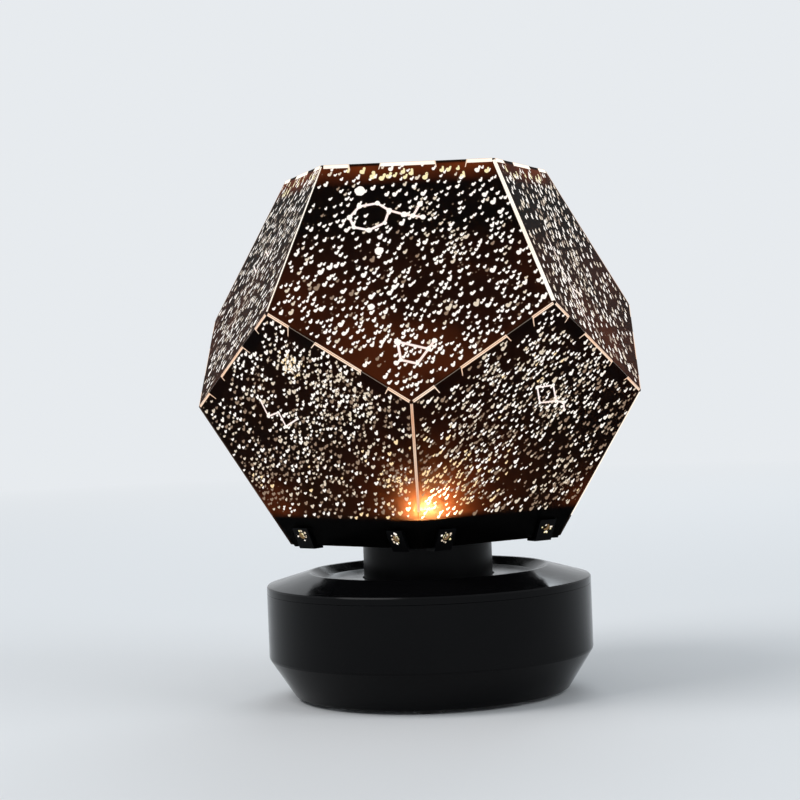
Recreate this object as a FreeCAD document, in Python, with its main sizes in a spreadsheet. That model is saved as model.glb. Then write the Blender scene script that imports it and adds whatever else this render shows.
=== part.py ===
"""Planetarium projector: a folded star-film dodecahedron that turns on a battery base.

Millimetres, +Z up, origin on the turning axis at the level the feet stand on.
The front of the projector faces -Y; the push buttons are in the rear wall (+Y).
"""
import FreeCAD, Part
import math
import os
import types

import Sketcher

# ------------------------------------------------------------------ driving dimensions, mm
# alias, value, what it is
DIMENSIONS = [
    # star-film shade
    ("panel_edge", 60.0, "edge of every pentagon of the shade"),
    ("film_thickness", 0.5, "star film"),
    ("tab_share", 0.18, "locking tab's root width as a share of a panel edge"),
    ("tab_place", 0.25, "tab centre from the edge's middle, as a share of a panel edge"),
    ("tab_depth", 4.2, "how far a tab reaches behind the next panel"),
    ("tab_taper", 1.0, "how much each end of a tab draws in"),
    ("flap_share", 0.5, "closing flap's root width as a share of a panel edge"),
    ("flap_depth", 6.0, "how far a ring's closing flap reaches behind its first panel"),
    ("flap_taper", 3.0, "how much each end of a closing flap draws in"),
    # shade tray
    ("tray_floor", 2.0, "thickness of the tray's floor"),
    ("tray_wall", 1.6, "thickness of the tray's flared flange"),
    ("tray_flange_height", 9.4, "height of the flange above the tray's underside"),
    ("clip_place", 0.36, "clip centre from a side's middle, as a share of a panel edge"),
    ("clip_width", 7.0, "width of a film clip"),
    ("clip_thickness", 1.2, "thickness of a film clip"),
    ("clip_height", 6.4, "height of a clip's upright above the tray's underside"),
    ("clip_reach", 4.0, "how far a clip's root runs under the tray"),
    ("clip_hole_radius", 1.3, "hole through clip and flange"),
    ("clip_hole_height", 4.2, "height of that hole's centre above the tray's underside"),
    # housing
    ("base_radius", 59.4, "upright wall of the base, outside"),
    ("foot_stand", 1.2, "how far the feet stand out below the shell"),
    ("lower_bevel_height", 14.2, "height of the bevel at the foot of the shell"),
    ("lower_bevel_width", 9.2, "width of the bevel at the foot of the shell"),
    ("shell_wall", 2.5, "wall of the base shell"),
    ("shell_floor", 2.5, "floor of the base shell"),
    ("seam_tongue", 1.3, "width and height of the tongue at the seam"),
    ("seam_clearance", 0.15, "gap between tongue and cover"),
    ("cover_skirt", 2.6, "upright edge of the cover above the seam"),
    ("cover_bevel_height", 4.4, "rise of the cover's outer bevel"),
    ("cover_bevel_width", 15.2, "width of the cover's outer bevel"),
    ("cover_wall", 2.2, "wall of the cover"),
    ("rim_width", 0.9, "flat top of the cover's rim"),
    ("dish_slope_width", 4.0, "width of the slope from the rim into the dish"),
    ("dish_depth", 2.8, "depth of the dish below the rim"),
    ("edge_break", 0.4, "eased outer edges of the housing"),
    ("seam_break", 0.1, "eased edges that make the fine groove at the seam"),
    ("housing_post_offset", 1.8, "housing screws outside the edge of the cover's rim"),
    ("housing_post_radius", 4.0, "screw post of the base shell"),
    ("cover_post_radius", 3.4, "screw post of the cover"),
    ("housing_post_height", 18.0, "height of the shell's posts above its floor"),
    ("deck_boss_gap", 2.05, "gap between the battery bay's wall and the deck bosses"),
    ("deck_boss_y", 10.0, "deck screws from the middle, along Y"),
    ("deck_boss_radius", 3.0, "boss under the deck"),
    ("foot_inset", 2.2, "underside left outside a foot"),
    ("foot_radius", 5.0, "rubber foot"),
    ("foot_recess", 1.0, "depth of the recess that holds a foot"),
    # battery bay
    ("cell_diameter", 14.5, "AA cell"),
    ("cell_length", 50.5, "AA cell with its nub"),
    ("cell_nub_radius", 2.6, "positive nub of a cell"),
    ("cell_nub_height", 1.0, "positive nub of a cell"),
    ("cell_gap", 0.4, "gap between cells and to the walls, roof and door"),
    ("contact_stand", 1.0, "positive contact from the wall to the nub"),
    ("spring_room", 6.2, "room for a spring at a cell's negative end"),
    ("bay_wall", 1.6, "walls and roof of the battery bay"),
    ("plate_thickness", 0.4, "contact plates"),
    ("spring_wire", 0.8, "wire of a battery spring"),
    ("spring_radius", 4.2, "foot of a battery spring"),
    ("spring_turns", 3.0, "turns of a battery spring"),
    ("spring_cone", 18.0, "half angle by which a battery spring narrows"),
    # battery door
    ("door_gap", 0.3, "gap round the battery door"),
    ("hinge_pin_radius", 0.7, "hinge pin of the battery door"),
    ("hinge_pin_length", 1.6, "how far a hinge pin stands out of the door"),
    ("latch_width", 9.0, "finger latch of the door"),
    ("latch_reach", 3.0, "how far the latch reaches past the door"),
    ("latch_thickness", 1.0, "finger latch"),
    ("latch_relief", 1.2, "depth of the recess that the latch lies in"),
    # deck
    ("deck_thickness", 2.0, "deck over the battery bay"),
    ("deck_gap", 1.0, "gap between the round part of the deck and the housing posts"),
    ("wing_half_width", 22.0, "half width of the deck's front and rear wings"),
    ("wing_gap", 7.9, "gap between a wing's end and the wall, at the middle"),
    ("deck_pad_height", 2.0, "raised pad under the lamp post"),
    ("lead_channel", 3.2, "width of the channel for the lamp's lead"),
    # gear train
    ("gear_module", 1.0, "module of the gear pair"),
    ("gear_teeth", 60, "teeth of the turntable gear"),
    ("pinion_teeth", 12, "teeth of the pinion"),
    ("gear_face", 4.0, "face width of the turntable gear"),
    ("gear_web", 2.0, "web of the turntable gear"),
    ("gear_rim", 1.8, "rim inside the teeth"),
    ("gear_boss_wall", 1.9, "wall of the gear's inner boss"),
    ("mesh_clearance", 0.15, "added to the centre distance"),
    ("tooth_backlash", 0.12, "taken off each tooth's thickness at the pitch circle"),
    ("gear_fit", 0.15, "gap between the gear's bore and the hub's sleeve"),
    ("gear_window_radius", 3.6, "lightening holes of the gear"),
    # motor
    ("motor_radius", 12.0, "motor can"),
    ("motor_height", 8.6, "motor can"),
    ("motor_boss_radius", 4.5, "bearing boss on top of the motor"),
    ("motor_boss_height", 1.2, "bearing boss on top of the motor"),
    ("motor_ear_gap", 0.55, "gap between the motor can and its screw bosses"),
    ("motor_ear_radius", 3.2, "motor ear"),
    ("motor_ear_thickness", 0.8, "motor ear"),
    ("motor_shaft_radius", 2.0, "motor shaft"),
    ("motor_shaft_depth", 6.0, "length of the shaft inside the motor"),
    ("motor_chamfer", 0.8, "edge of the motor can"),
    # turning joint
    ("running_clearance", 0.06, "radial gap of a running fit"),
    ("press_clearance", 0.02, "radial gap of a pressed or screwed seat"),
    ("post_radius", 8.0, "lamp post inside the hub"),
    ("post_bore", 3.0, "bore of the lamp post for the lead"),
    ("post_shoulder_step", 2.4, "shoulder that carries the hub, beyond the post"),
    ("post_shoulder_height", 9.6, "shoulder above the deck"),
    ("post_flange_edge", 1.2, "foot flange of the lamp post outside its screw heads"),
    ("post_flange_thickness", 2.2, "foot flange of the lamp post"),
    ("post_screw_gap", 0.8, "gap between the shoulder and the post's screw heads"),
    ("washer_thickness", 0.8, "thrust washer"),
    # hub
    ("neck_radius", 23.6, "neck, outside"),
    ("neck_wall", 2.5, "wall of the neck"),
    ("neck_gap", 0.6, "radial gap between neck and cover"),
    ("neck_rise", 11.4, "tray underside above the cover's rim"),
    ("hub_top", 3.5, "top plate of the hub"),
    ("sleeve_wall", 2.5, "wall of the hub's bearing sleeve"),
    ("sleeve_skirt", 4.6, "sleeve below the gear's top face"),
    ("spigot_height", 2.6, "sleeve above the hub's top plate, centring the tray"),
    ("hub_rib", 1.6, "ribs of the hub"),
    ("hub_rib_set_back", 2.4, "ribs end above the neck's lower edge"),
    ("hub_boss_radius", 3.0, "screw bosses of the hub"),
    ("hub_screw_place", 16.0, "radius on which the hub's screws lie"),
    ("tray_boss_depth", 8.0, "bosses under the hub's top plate"),
    ("collar_gap", 0.8, "gap between the cover's collar and the gear"),
    ("gear_headroom", 3.4, "space between the gear and the cover's dish"),
    # lamp
    ("end_play", 0.4, "gap between the hub's sleeve and the heat sink"),
    ("sink_overhang", 2.0, "heat sink fins beyond the post"),
    ("sink_core_edge", 0.2, "heat sink core outside its screw holes"),
    ("sink_fin", 1.1, "heat sink fin and the gap between fins"),
    ("sink_fin_count", 3, "fins of the heat sink"),
    ("lamp_board_step", 1.0, "heat sink fins beyond the aluminium lamp board"),
    ("lamp_board_thickness", 1.2, "aluminium lamp board"),
    ("emitter_side", 5.0, "lamp emitter"),
    ("emitter_height", 0.8, "lamp emitter"),
    ("lens_radius", 2.2, "dome over the emitter"),
    # controls
    ("button_spread", 11.0, "button from the middle, along X"),
    ("button_drop", 10.0, "button axis below the housing's seam"),
    ("button_radius", 4.5, "button cap"),
    ("button_running_gap", 0.1, "radial gap round a button and its stem"),
    ("button_stand", 1.2, "how far a button stands out of the wall"),
    ("button_travel", 1.2, "how far a button can be pressed"),
    ("button_flange_step", 1.3, "flange that keeps a button in, beyond its cap"),
    ("button_flange_thickness", 1.4, "flange that keeps a button in"),
    ("button_seat_gap", 0.05, "gap between flange and guide"),
    ("button_stem_radius", 1.6, "stem that enters the switch"),
    ("stem_entry", 1.95, "how far a stem reaches into its switch at rest"),
    ("stem_gap", 0.85, "depth left under a pressed stem"),
    ("button_edge", 0.6, "rounded edge of a button"),
    ("guide_wall", 2.6, "wall of the guide round a button"),
    ("guide_depth", 3.1, "how far a guide stands in from the wall"),
    ("switch_side", 7.0, "push switch"),
    ("switch_depth", 5.0, "push switch"),
    ("switch_gap", 1.65, "gap between a pressed button's flange and its switch"),
    ("board_thickness", 1.6, "control board"),
    ("board_half_width", 19.0, "control board"),
    ("board_margin", 3.1, "control board above the switches"),
    ("chip_width", 9.0, "timer chip on the control board"),
    ("chip_height", 6.0, "timer chip on the control board"),
    ("chip_thickness", 1.6, "timer chip on the control board"),
    ("capacitor_radius", 2.5, "capacitor on the control board"),
    ("capacitor_length", 5.0, "capacitor on the control board"),
    ("socket_width", 8.0, "lead socket on the control board"),
    ("socket_height", 5.0, "lead socket on the control board"),
    ("socket_depth", 4.5, "lead socket on the control board"),
    ("bracket_width", 3.0, "board bracket on the deck"),
    ("bracket_depth", 4.8, "board bracket on the deck"),
    ("bracket_height", 9.0, "board bracket on the deck"),
    ("bracket_slot", 1.5, "depth of the bracket's slot"),
    ("board_gap", 0.1, "gap between board and slot"),
    # screws
    ("large_shank", 1.4, "housing and deck screws"),
    ("large_head", 2.8, "housing and deck screws"),
    ("large_head_height", 1.9, "housing and deck screws"),
    ("small_shank", 0.9, "all other screws"),
    ("small_head", 1.8, "all other screws"),
    ("small_head_height", 1.3, "all other screws"),
    ("screw_hole_gap", 0.2, "radial gap where a screw passes through"),
    ("housing_screw_length", 22.0, "housing screws under the head"),
    ("deck_screw_length", 8.0, "deck screws under the head"),
    ("motor_screw_length", 5.0, "motor screws under the head"),
    ("post_screw_length", 5.4, "lamp post screws under the head"),
    ("gear_screw_length", 7.0, "gear screws under the head"),
    ("tray_screw_length", 7.0, "tray screws under the head"),
    ("lamp_screw_length", 12.0, "lamp screws under the head"),
]

# Regular dodecahedron with edge 1.
PANEL_APOTHEM = 1 / (2 * math.tan(math.radians(36)))
PANEL_CORNER = 1 / (2 * math.sin(math.radians(36)))
SIDE_SIN = math.sin(math.radians(18))
SIDE_COS = math.cos(math.radians(18))
FACE_DISTANCE = math.sqrt((25 + 11 * math.sqrt(5)) / 40)
FACE_LEAN = math.degrees(math.atan(0.5))          # side panels from the vertical
LEAN_SLOPE = math.tan(math.radians(FACE_LEAN))
LEAN_COS = math.cos(math.radians(FACE_LEAN))
LEAN_SIN = math.sin(math.radians(FACE_LEAN))
PENTAGON_SIDES = 5
# Angle of a pentagon's first corner: the cap has an edge in front, the tray a corner, and
# in a panel's own plane the corner lies opposite the level edge.
CAP_TURN = 90
TRAY_TURN = -90
PANEL_TURN = -90
# Edge middles in a panel's own plane: the level edge, one side edge, and the zigzag edges.
LEVEL_EDGE = 90
CLOSING_EDGE = 18
ZIGZAG_EDGES = (-54, -126)
# A tab's root starts this many film thicknesses outside the panel edge, inside the film
# of the panel that it grows from.
TAB_ROOT = -0.2

PRESSURE_ANGLE = math.radians(20)
ADDENDUM = 0.95
DEDENDUM = 1.25
# Where a tooth's flank is drawn, in modules from the pitch circle; the last lies past the tip.
FLANK_STEPS = (-0.6, 0, 0.5, 1.4)
QUARTER_TURNS = (0, 90, 180, 270)
DIAGONALS = (45, 135, 225, 315)
POST_SCREW_ANGLES = (30, 150, 270)
PINION_MESH_ANGLE = 90                            # side of the pinion that meets the gear
CONTACT_WIDTH, CONTACT_HEIGHT = 0.75, 0.7         # contact plate's half sizes in cell radii


# ------------------------------------------------------------------ sizes and expressions
class Size:
    """A length held both as a number and as an expression on the sheet's cells."""

    def __init__(self, value, text=None):
        self.value = float(value)
        self.text = f"({self.value:.9f})" if text is None else text
        self.bound = text is not None

    def _join(self, sign, other, value):
        text = f"({self.text} {sign} {other.text})"
        return Size(value, text if self.bound or other.bound else None)

    def __add__(self, other):
        other = sized(other)
        return self._join("+", other, self.value + other.value)

    def __sub__(self, other):
        other = sized(other)
        return self._join("-", other, self.value - other.value)

    def __mul__(self, other):
        other = sized(other)
        return self._join("*", other, self.value * other.value)

    def __truediv__(self, other):
        other = sized(other)
        return self._join("/", other, self.value / other.value)

    def __neg__(self):
        return sized(0) - self

    def __radd__(self, other):
        return sized(other) + self

    def __rsub__(self, other):
        return sized(other) - self

    def __rmul__(self, other):
        return sized(other) * self


def sized(number):
    return number if isinstance(number, Size) else Size(number)


def bind(item, path, size):
    """Tie a property to the sheet; a plain number is tied as itself."""
    item.setExpression(path, sized(size).text)


def on_circle(radius, degrees):
    """Point at an angle on a circle about the origin, exact on the axes."""
    cosine = round(math.cos(math.radians(degrees)), 12)
    sine = round(math.sin(math.radians(degrees)), 12)
    return radius * cosine, radius * sine


# ------------------------------------------------------------------ document helpers
doc = FreeCAD.newDocument("PlanetariumProjector")
sub_parts = []


def fill_sheet():
    """The driving dimensions: notes in column A, numbers in column B under their aliases."""
    sheet = doc.addObject("Spreadsheet::Sheet", "Sizes")
    for row, (name, number, note) in enumerate(DIMENSIONS, start=1):
        sheet.set(f"A{row}", note)
        sheet.set(f"B{row}", str(number))
        sheet.setAlias(f"B{row}", name)
    doc.recompute()
    return types.SimpleNamespace(
        **{name: Size(number, f"Sizes.{name}") for name, number, note in DIMENSIONS}
    )


dim = fill_sheet()


def new_body(label, x=0, y=0, z=0, axis=None, degrees=0):
    """A sub-part: its label is the name of its file."""
    body = doc.addObject("PartDesign::Body", label)
    body.Label = label
    if axis is not None:
        turn = FreeCAD.Rotation(FreeCAD.Vector(*axis), degrees)
        body.Placement = FreeCAD.Placement(FreeCAD.Vector(), turn)
    for path, size in (("x", x), ("y", y), ("z", z)):
        bind(body, f"Placement.Base.{path}", size)
    sub_parts.append(body)
    return body


def origin_feature(body, role):
    return next(item for item in body.Origin.OriginFeatures if item.Role == role)


def new_sketch(body, name, plane="XY_Plane", x=0, y=0, z=0, lean=None):
    """A sketch on one of the body's own planes, shifted and leaned about its own X axis."""
    sketch = body.newObject("Sketcher::SketchObject", f"{body.Label}_{name}")
    sketch.AttachmentSupport = [(origin_feature(body, plane), "")]
    sketch.MapMode = "FlatFace"
    if lean is not None:
        turn = FreeCAD.Rotation(FreeCAD.Vector(1, 0, 0), lean)
        sketch.AttachmentOffset = FreeCAD.Placement(FreeCAD.Vector(), turn)
    for path, size in (("x", x), ("y", y), ("z", z)):
        bind(sketch, f"AttachmentOffset.Base.{path}", size)
    return sketch


def add_constraint(sketch, constraint, size=None):
    index = sketch.addConstraint(constraint)
    if size is not None and size.bound:
        bind(sketch, f"Constraints[{index}]", size)


def place_point(sketch, geometry, end, x, y):
    """Fix a point from the sketch's origin; a zero distance puts it on the axis."""
    for kind, size, axis in (("DistanceX", sized(x), -2), ("DistanceY", sized(y), -1)):
        if abs(size.value) < 1e-9:
            add_constraint(sketch, Sketcher.Constraint("PointOnObject", geometry, end, axis))
        else:
            rule = Sketcher.Constraint(kind, -1, 1, geometry, end, size.value)
            add_constraint(sketch, rule, size)


def draw_polygon(sketch, points):
    points = [(sized(x), sized(y)) for x, y in points]
    corners = [FreeCAD.Vector(x.value, y.value, 0) for x, y in points]
    first = sketch.GeometryCount
    count = len(corners)
    for index, corner in enumerate(corners):
        sketch.addGeometry(Part.LineSegment(corner, corners[(index + 1) % count]), False)
    for index in range(count):
        following = first + (index + 1) % count
        add_constraint(sketch, Sketcher.Constraint("Coincident", first + index, 2, following, 1))
    for index, (x, y) in enumerate(points):
        place_point(sketch, first + index, 1, x, y)


def draw_rectangle(sketch, low_x, low_y, high_x, high_y):
    draw_polygon(sketch, [(low_x, low_y), (high_x, low_y), (high_x, high_y), (low_x, high_y)])


def draw_circle(sketch, x, y, radius):
    x, y, radius = sized(x), sized(y), sized(radius)
    centre = FreeCAD.Vector(x.value, y.value, 0)
    circle = Part.Circle(centre, FreeCAD.Vector(0, 0, 1), radius.value)
    index = sketch.addGeometry(circle, False)
    place_point(sketch, index, 3, x, y)
    add_constraint(sketch, Sketcher.Constraint("Radius", index, radius.value), radius)


def draw_pentagon(sketch, corner_radius, turn):
    """Regular pentagon about the sketch's origin."""
    step = 360 / PENTAGON_SIDES
    draw_polygon(
        sketch, [on_circle(corner_radius, turn + step * side) for side in range(PENTAGON_SIDES)]
    )


def add_feature(body, kind, sketch):
    feature = body.newObject(f"PartDesign::{kind}", f"{sketch.Name}_{kind}")
    feature.Profile = sketch
    return feature


def extrude(kind, body, sketch, length, reverse=False, both_ways=False):
    """Pad or Pocket; a pad grows along the sketch's normal, a pocket cuts against it."""
    feature = add_feature(body, kind, sketch)
    bind(feature, "Length", length)
    feature.Reversed = reverse
    feature.Midplane = both_ways
    return feature


def pad(body, sketch, length, **options):
    return extrude("Pad", body, sketch, length, **options)


def pocket(body, sketch, length, **options):
    return extrude("Pocket", body, sketch, length, **options)


def revolve(body, sketch, kind="Revolution", axis="V_Axis"):
    feature = add_feature(body, kind, sketch)
    feature.ReferenceAxis = (sketch, [axis])
    feature.Angle = 360
    return feature


def turned(body, name, points):
    """A solid of revolution about the body's Z axis from (radius, height) points."""
    sketch = new_sketch(body, name, "XZ_Plane")
    draw_polygon(sketch, points)
    return revolve(body, sketch)


def eased(points, breaks):
    """A profile with some corners cut back: breaks gives the cut for each corner's index."""
    result = []
    for index, (x, y) in enumerate(points):
        if index not in breaks:
            result.append((x, y))
            continue
        for other_x, other_y in (points[index - 1], points[(index + 1) % len(points)]):
            away_x, away_y = sized(other_x - x).value, sized(other_y - y).value
            length = math.hypot(away_x, away_y)
            cut = breaks[index]
            result.append((x + cut * (away_x / length), y + cut * (away_y / length)))
    return result


def repeat_round(body, features, count):
    """Copies of the features, evenly spaced about the body's Z axis."""
    pattern = body.newObject("PartDesign::PolarPattern", f"{features[0].Name}_Round")
    pattern.Originals = features
    pattern.Axis = (origin_feature(body, "Z_Axis"), [""])
    pattern.Angle = 360
    bind(pattern, "Occurrences", count)
    body.Tip = pattern
    return pattern


def pad_circles(body, name, places, radius, low, high):
    """Upright cylinders between two heights."""
    sketch = new_sketch(body, name, z=low)
    for x, y in places:
        draw_circle(sketch, x, y, radius)
    return pad(body, sketch, high - low)


def cut_circles(body, name, places, radius, low, high):
    """Upright holes between two heights."""
    sketch = new_sketch(body, name, z=high)
    for x, y in places:
        draw_circle(sketch, x, y, radius)
    return pocket(body, sketch, high - low)


def screw_set(label, places, seat, length, gauge, head_up=True):
    """Identical pan-head screws; seat is the height of the face under the heads."""
    shank, head, head_height = gauge
    body = new_body(label)
    if head_up:
        pad_circles(body, "heads", places, head, seat, seat + head_height)
        pad_circles(body, "shanks", places, shank, seat - length, seat)
    else:
        pad_circles(body, "heads", places, head, seat - head_height, seat)
        pad_circles(body, "shanks", places, shank, seat, seat + length)
    return body


# ------------------------------------------------------------------ heights and places
floor_low = dim.foot_stand
floor_top = floor_low + dim.shell_floor
bevel_top = floor_low + dim.lower_bevel_height
base_inner = dim.base_radius - dim.shell_wall
foot_radius = dim.base_radius - dim.lower_bevel_width
rim_radius = dim.base_radius - dim.cover_bevel_width

cell_radius = dim.cell_diameter / 2
cell_pitch = dim.cell_diameter + dim.cell_gap
bay_half_width = cell_pitch * 1.5 + dim.cell_gap / 2
bay_half_length = (dim.cell_length + dim.contact_stand + dim.spring_room) / 2
cell_axis = floor_top + dim.cell_gap + cell_radius
bay_ceiling = cell_axis + cell_radius + dim.cell_gap
deck_low = bay_ceiling + dim.bay_wall
deck_top = deck_low + dim.deck_thickness

gear_pitch_radius = dim.gear_module * dim.gear_teeth / 2
pinion_pitch_radius = dim.gear_module * dim.pinion_teeth / 2
centre_distance = gear_pitch_radius + pinion_pitch_radius + dim.mesh_clearance
shoulder = deck_top + dim.post_shoulder_height
sleeve_low = shoulder + dim.washer_thickness
gear_top = sleeve_low + dim.sleeve_skirt
gear_low = gear_top - dim.gear_face
dish_under = gear_top + dim.gear_headroom
dish_floor = dish_under + dim.cover_wall
rim_top = dish_floor + dim.dish_depth
cover_edge = rim_top - dim.cover_bevel_height
seam = cover_edge - dim.cover_skirt
motor_top = deck_top + dim.motor_height
post_foot = deck_top + dim.deck_pad_height
post_flange_top = post_foot + dim.post_flange_thickness
sleeve_bore = dim.post_radius + dim.running_clearance
sleeve_radius = sleeve_bore + dim.sleeve_wall
shoulder_radius = dim.post_radius + dim.post_shoulder_step
tray_low = rim_top + dim.neck_rise
spigot_top = tray_low + dim.spigot_height
post_top = spigot_top + dim.end_play
sink_top = post_top + dim.sink_fin * (dim.sink_fin_count * 2 - 1)
lamp_board_top = sink_top + dim.lamp_board_thickness
emitter_top = lamp_board_top + dim.emitter_height
shade_centre = tray_low + FACE_DISTANCE * dim.panel_edge
shade_top = shade_centre + FACE_DISTANCE * dim.panel_edge

SMALL_SCREW = (dim.small_shank, dim.small_head, dim.small_head_height)
LARGE_SCREW = (dim.large_shank, dim.large_head, dim.large_head_height)
small_pass = dim.small_shank + dim.screw_hole_gap
large_pass = dim.large_shank + dim.screw_hole_gap
small_pilot = dim.small_shank + dim.press_clearance
large_pilot = dim.large_shank + dim.press_clearance

housing_post_place = rim_radius + dim.housing_post_offset
deck_radius = housing_post_place - dim.housing_post_radius - dim.deck_gap
wing_length = base_inner - dim.wing_gap
deck_boss_x = bay_half_length + dim.bay_wall + dim.deck_boss_gap + dim.deck_boss_radius
foot_place = foot_radius - dim.foot_radius - dim.foot_inset
post_screw_place = shoulder_radius + dim.post_screw_gap + dim.small_head
flange_radius = post_screw_place + dim.small_head + dim.post_flange_edge
motor_ear_place = dim.motor_radius + dim.motor_ear_gap + dim.motor_ear_radius
lamp_screw_place = (dim.post_bore + dim.post_radius) / 2
sink_radius = dim.post_radius + dim.sink_overhang

housing_places = [on_circle(housing_post_place, angle) for angle in DIAGONALS]
foot_places = [on_circle(foot_place, angle) for angle in QUARTER_TURNS]
deck_places = [
    (deck_boss_x * side_x, dim.deck_boss_y * side_y)
    for side_x in (-1, 1)
    for side_y in (-1, 1)
]
post_screw_places = [on_circle(post_screw_place, angle) for angle in POST_SCREW_ANGLES]
gear_screw_places = [on_circle(dim.hub_screw_place, angle) for angle in QUARTER_TURNS]
tray_screw_places = [on_circle(dim.hub_screw_place, angle) for angle in DIAGONALS]
lamp_screw_places = [(lamp_screw_place, 0), (-lamp_screw_place, 0)]
motor_screw_places = [
    (motor_ear_place, -centre_distance),
    (-motor_ear_place, -centre_distance),
]

button_height = seam - dim.button_drop
button_reach = dim.base_radius + dim.button_stand
guide_reach = base_inner - dim.guide_depth
guide_radius = dim.button_radius + dim.button_running_gap + dim.guide_wall
button_flange_high = guide_reach - dim.button_seat_gap
button_flange_low = button_flange_high - dim.button_flange_thickness
switch_face = button_flange_low - dim.button_travel - dim.switch_gap
board_rear = switch_face - dim.switch_depth


# ------------------------------------------------------------------ star-film shade
def upper_panel_sketch(body, name, inset):
    """Sketch in the front upper panel's plane: local +Y climbs the panel."""
    distance = FACE_DISTANCE * dim.panel_edge - inset
    return new_sketch(
        body,
        name,
        y=-LEAN_COS * distance,
        z=shade_centre + LEAN_SIN * distance,
        lean=90 - FACE_LEAN,
    )


def lower_panel_sketch(body, name, inset):
    """Sketch in the rear lower panel's plane: local +Y runs down the panel."""
    distance = FACE_DISTANCE * dim.panel_edge - inset
    return new_sketch(
        body,
        name,
        y=LEAN_COS * distance,
        z=shade_centre - LEAN_SIN * distance,
        lean=-90 - FACE_LEAN,
    )


def draw_flap(sketch, edge_angle, middle, share, depth, taper):
    """A flap that narrows behind one panel edge; the angle is that of the edge's middle."""
    outward = on_circle(1, edge_angle)
    along = on_circle(1, edge_angle + 90)
    root_half = share * dim.panel_edge / 2
    apothem = PANEL_APOTHEM * dim.panel_edge
    root = apothem - TAB_ROOT * dim.film_thickness
    tip = apothem - depth
    corners = [
        (root, middle - root_half),
        (root, middle + root_half),
        (tip, middle + root_half - taper),
        (tip, middle - root_half + taper),
    ]
    draw_polygon(
        sketch,
        [
            (reach * outward[0] + slide * along[0], reach * outward[1] + slide * along[1])
            for reach, slide in corners
        ],
    )


def draw_tabs(sketch, edge_angle):
    """Two locking tabs behind one panel edge."""
    for side in (-1, 1):
        middle = side * dim.tab_place * dim.panel_edge
        draw_flap(sketch, edge_angle, middle, dim.tab_share, dim.tab_depth, dim.tab_taper)


def pad_closing_flap(body, sketch):
    """Flap of a ring's last panel, fixed behind the first one along the closing seam."""
    draw_flap(
        sketch, CLOSING_EDGE, sized(0), dim.flap_share, dim.flap_depth, dim.flap_taper
    )
    pad(body, sketch, dim.film_thickness, reverse=True)


def pad_panels(body, sketch, thickness):
    """One panel padded inwards from its outer plane, and its copies round the axis."""
    panel = pad(body, sketch, thickness, reverse=True)
    repeat_round(body, [panel], PENTAGON_SIDES)


def make_shade_cap():
    """Top pentagon with two tabs folded down behind each upper panel."""
    body = new_body("shade_cap")
    film = dim.film_thickness
    face = new_sketch(body, "face", z=shade_top)
    draw_pentagon(face, PANEL_CORNER * dim.panel_edge, CAP_TURN)
    pad(body, face, film, reverse=True)
    tabs = upper_panel_sketch(body, "tabs", film)
    draw_tabs(tabs, LEVEL_EDGE)
    pad_panels(body, tabs, film)


def make_shade_upper_ring():
    """Strip of five panels under the cap; its zigzag edge tucks behind the lower ring."""
    body = new_body("shade_upper_ring")
    film = dim.film_thickness
    panel = upper_panel_sketch(body, "panel", 0)
    draw_pentagon(panel, PANEL_CORNER * dim.panel_edge, PANEL_TURN)
    pad_panels(body, panel, film)
    reach = 2 * dim.panel_edge
    level = new_sketch(body, "top_edge", z=shade_top - film)
    draw_rectangle(level, -reach, -reach, reach, reach)
    pocket(body, level, film * 2, reverse=True)
    zigzag = lower_panel_sketch(body, "zigzag", film)
    draw_rectangle(zigzag, -reach, -reach, reach, reach)
    cut = pocket(body, zigzag, reach, reverse=True)
    repeat_round(body, [cut], PENTAGON_SIDES)
    tabs = lower_panel_sketch(body, "tabs", film)
    for edge in ZIGZAG_EDGES:
        draw_tabs(tabs, edge)
    pad_panels(body, tabs, film)
    pad_closing_flap(body, upper_panel_sketch(body, "closing_flap", film))


def cut_clip_holes(body):
    """Holes square to the lower panels, in line through clip and flange; the film has none."""
    sketch = lower_panel_sketch(body, "clip_holes", -2 * dim.clip_thickness)
    drop = PANEL_APOTHEM * dim.panel_edge - dim.clip_hole_height / LEAN_COS
    for side in (-1, 1):
        draw_circle(sketch, side * dim.clip_place * dim.panel_edge, drop, dim.clip_hole_radius)
    depth = 3 * dim.clip_thickness + 2 * dim.tray_wall
    holes = pocket(body, sketch, depth)
    repeat_round(body, [holes], PENTAGON_SIDES)


def make_shade_lower_ring():
    """Strip of five panels that stands in the tray's clips."""
    body = new_body("shade_lower_ring")
    panel = lower_panel_sketch(body, "panel", 0)
    draw_pentagon(panel, PANEL_CORNER * dim.panel_edge, PANEL_TURN)
    pad_panels(body, panel, dim.film_thickness)
    pad_closing_flap(body, lower_panel_sketch(body, "closing_flap", dim.film_thickness))


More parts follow.
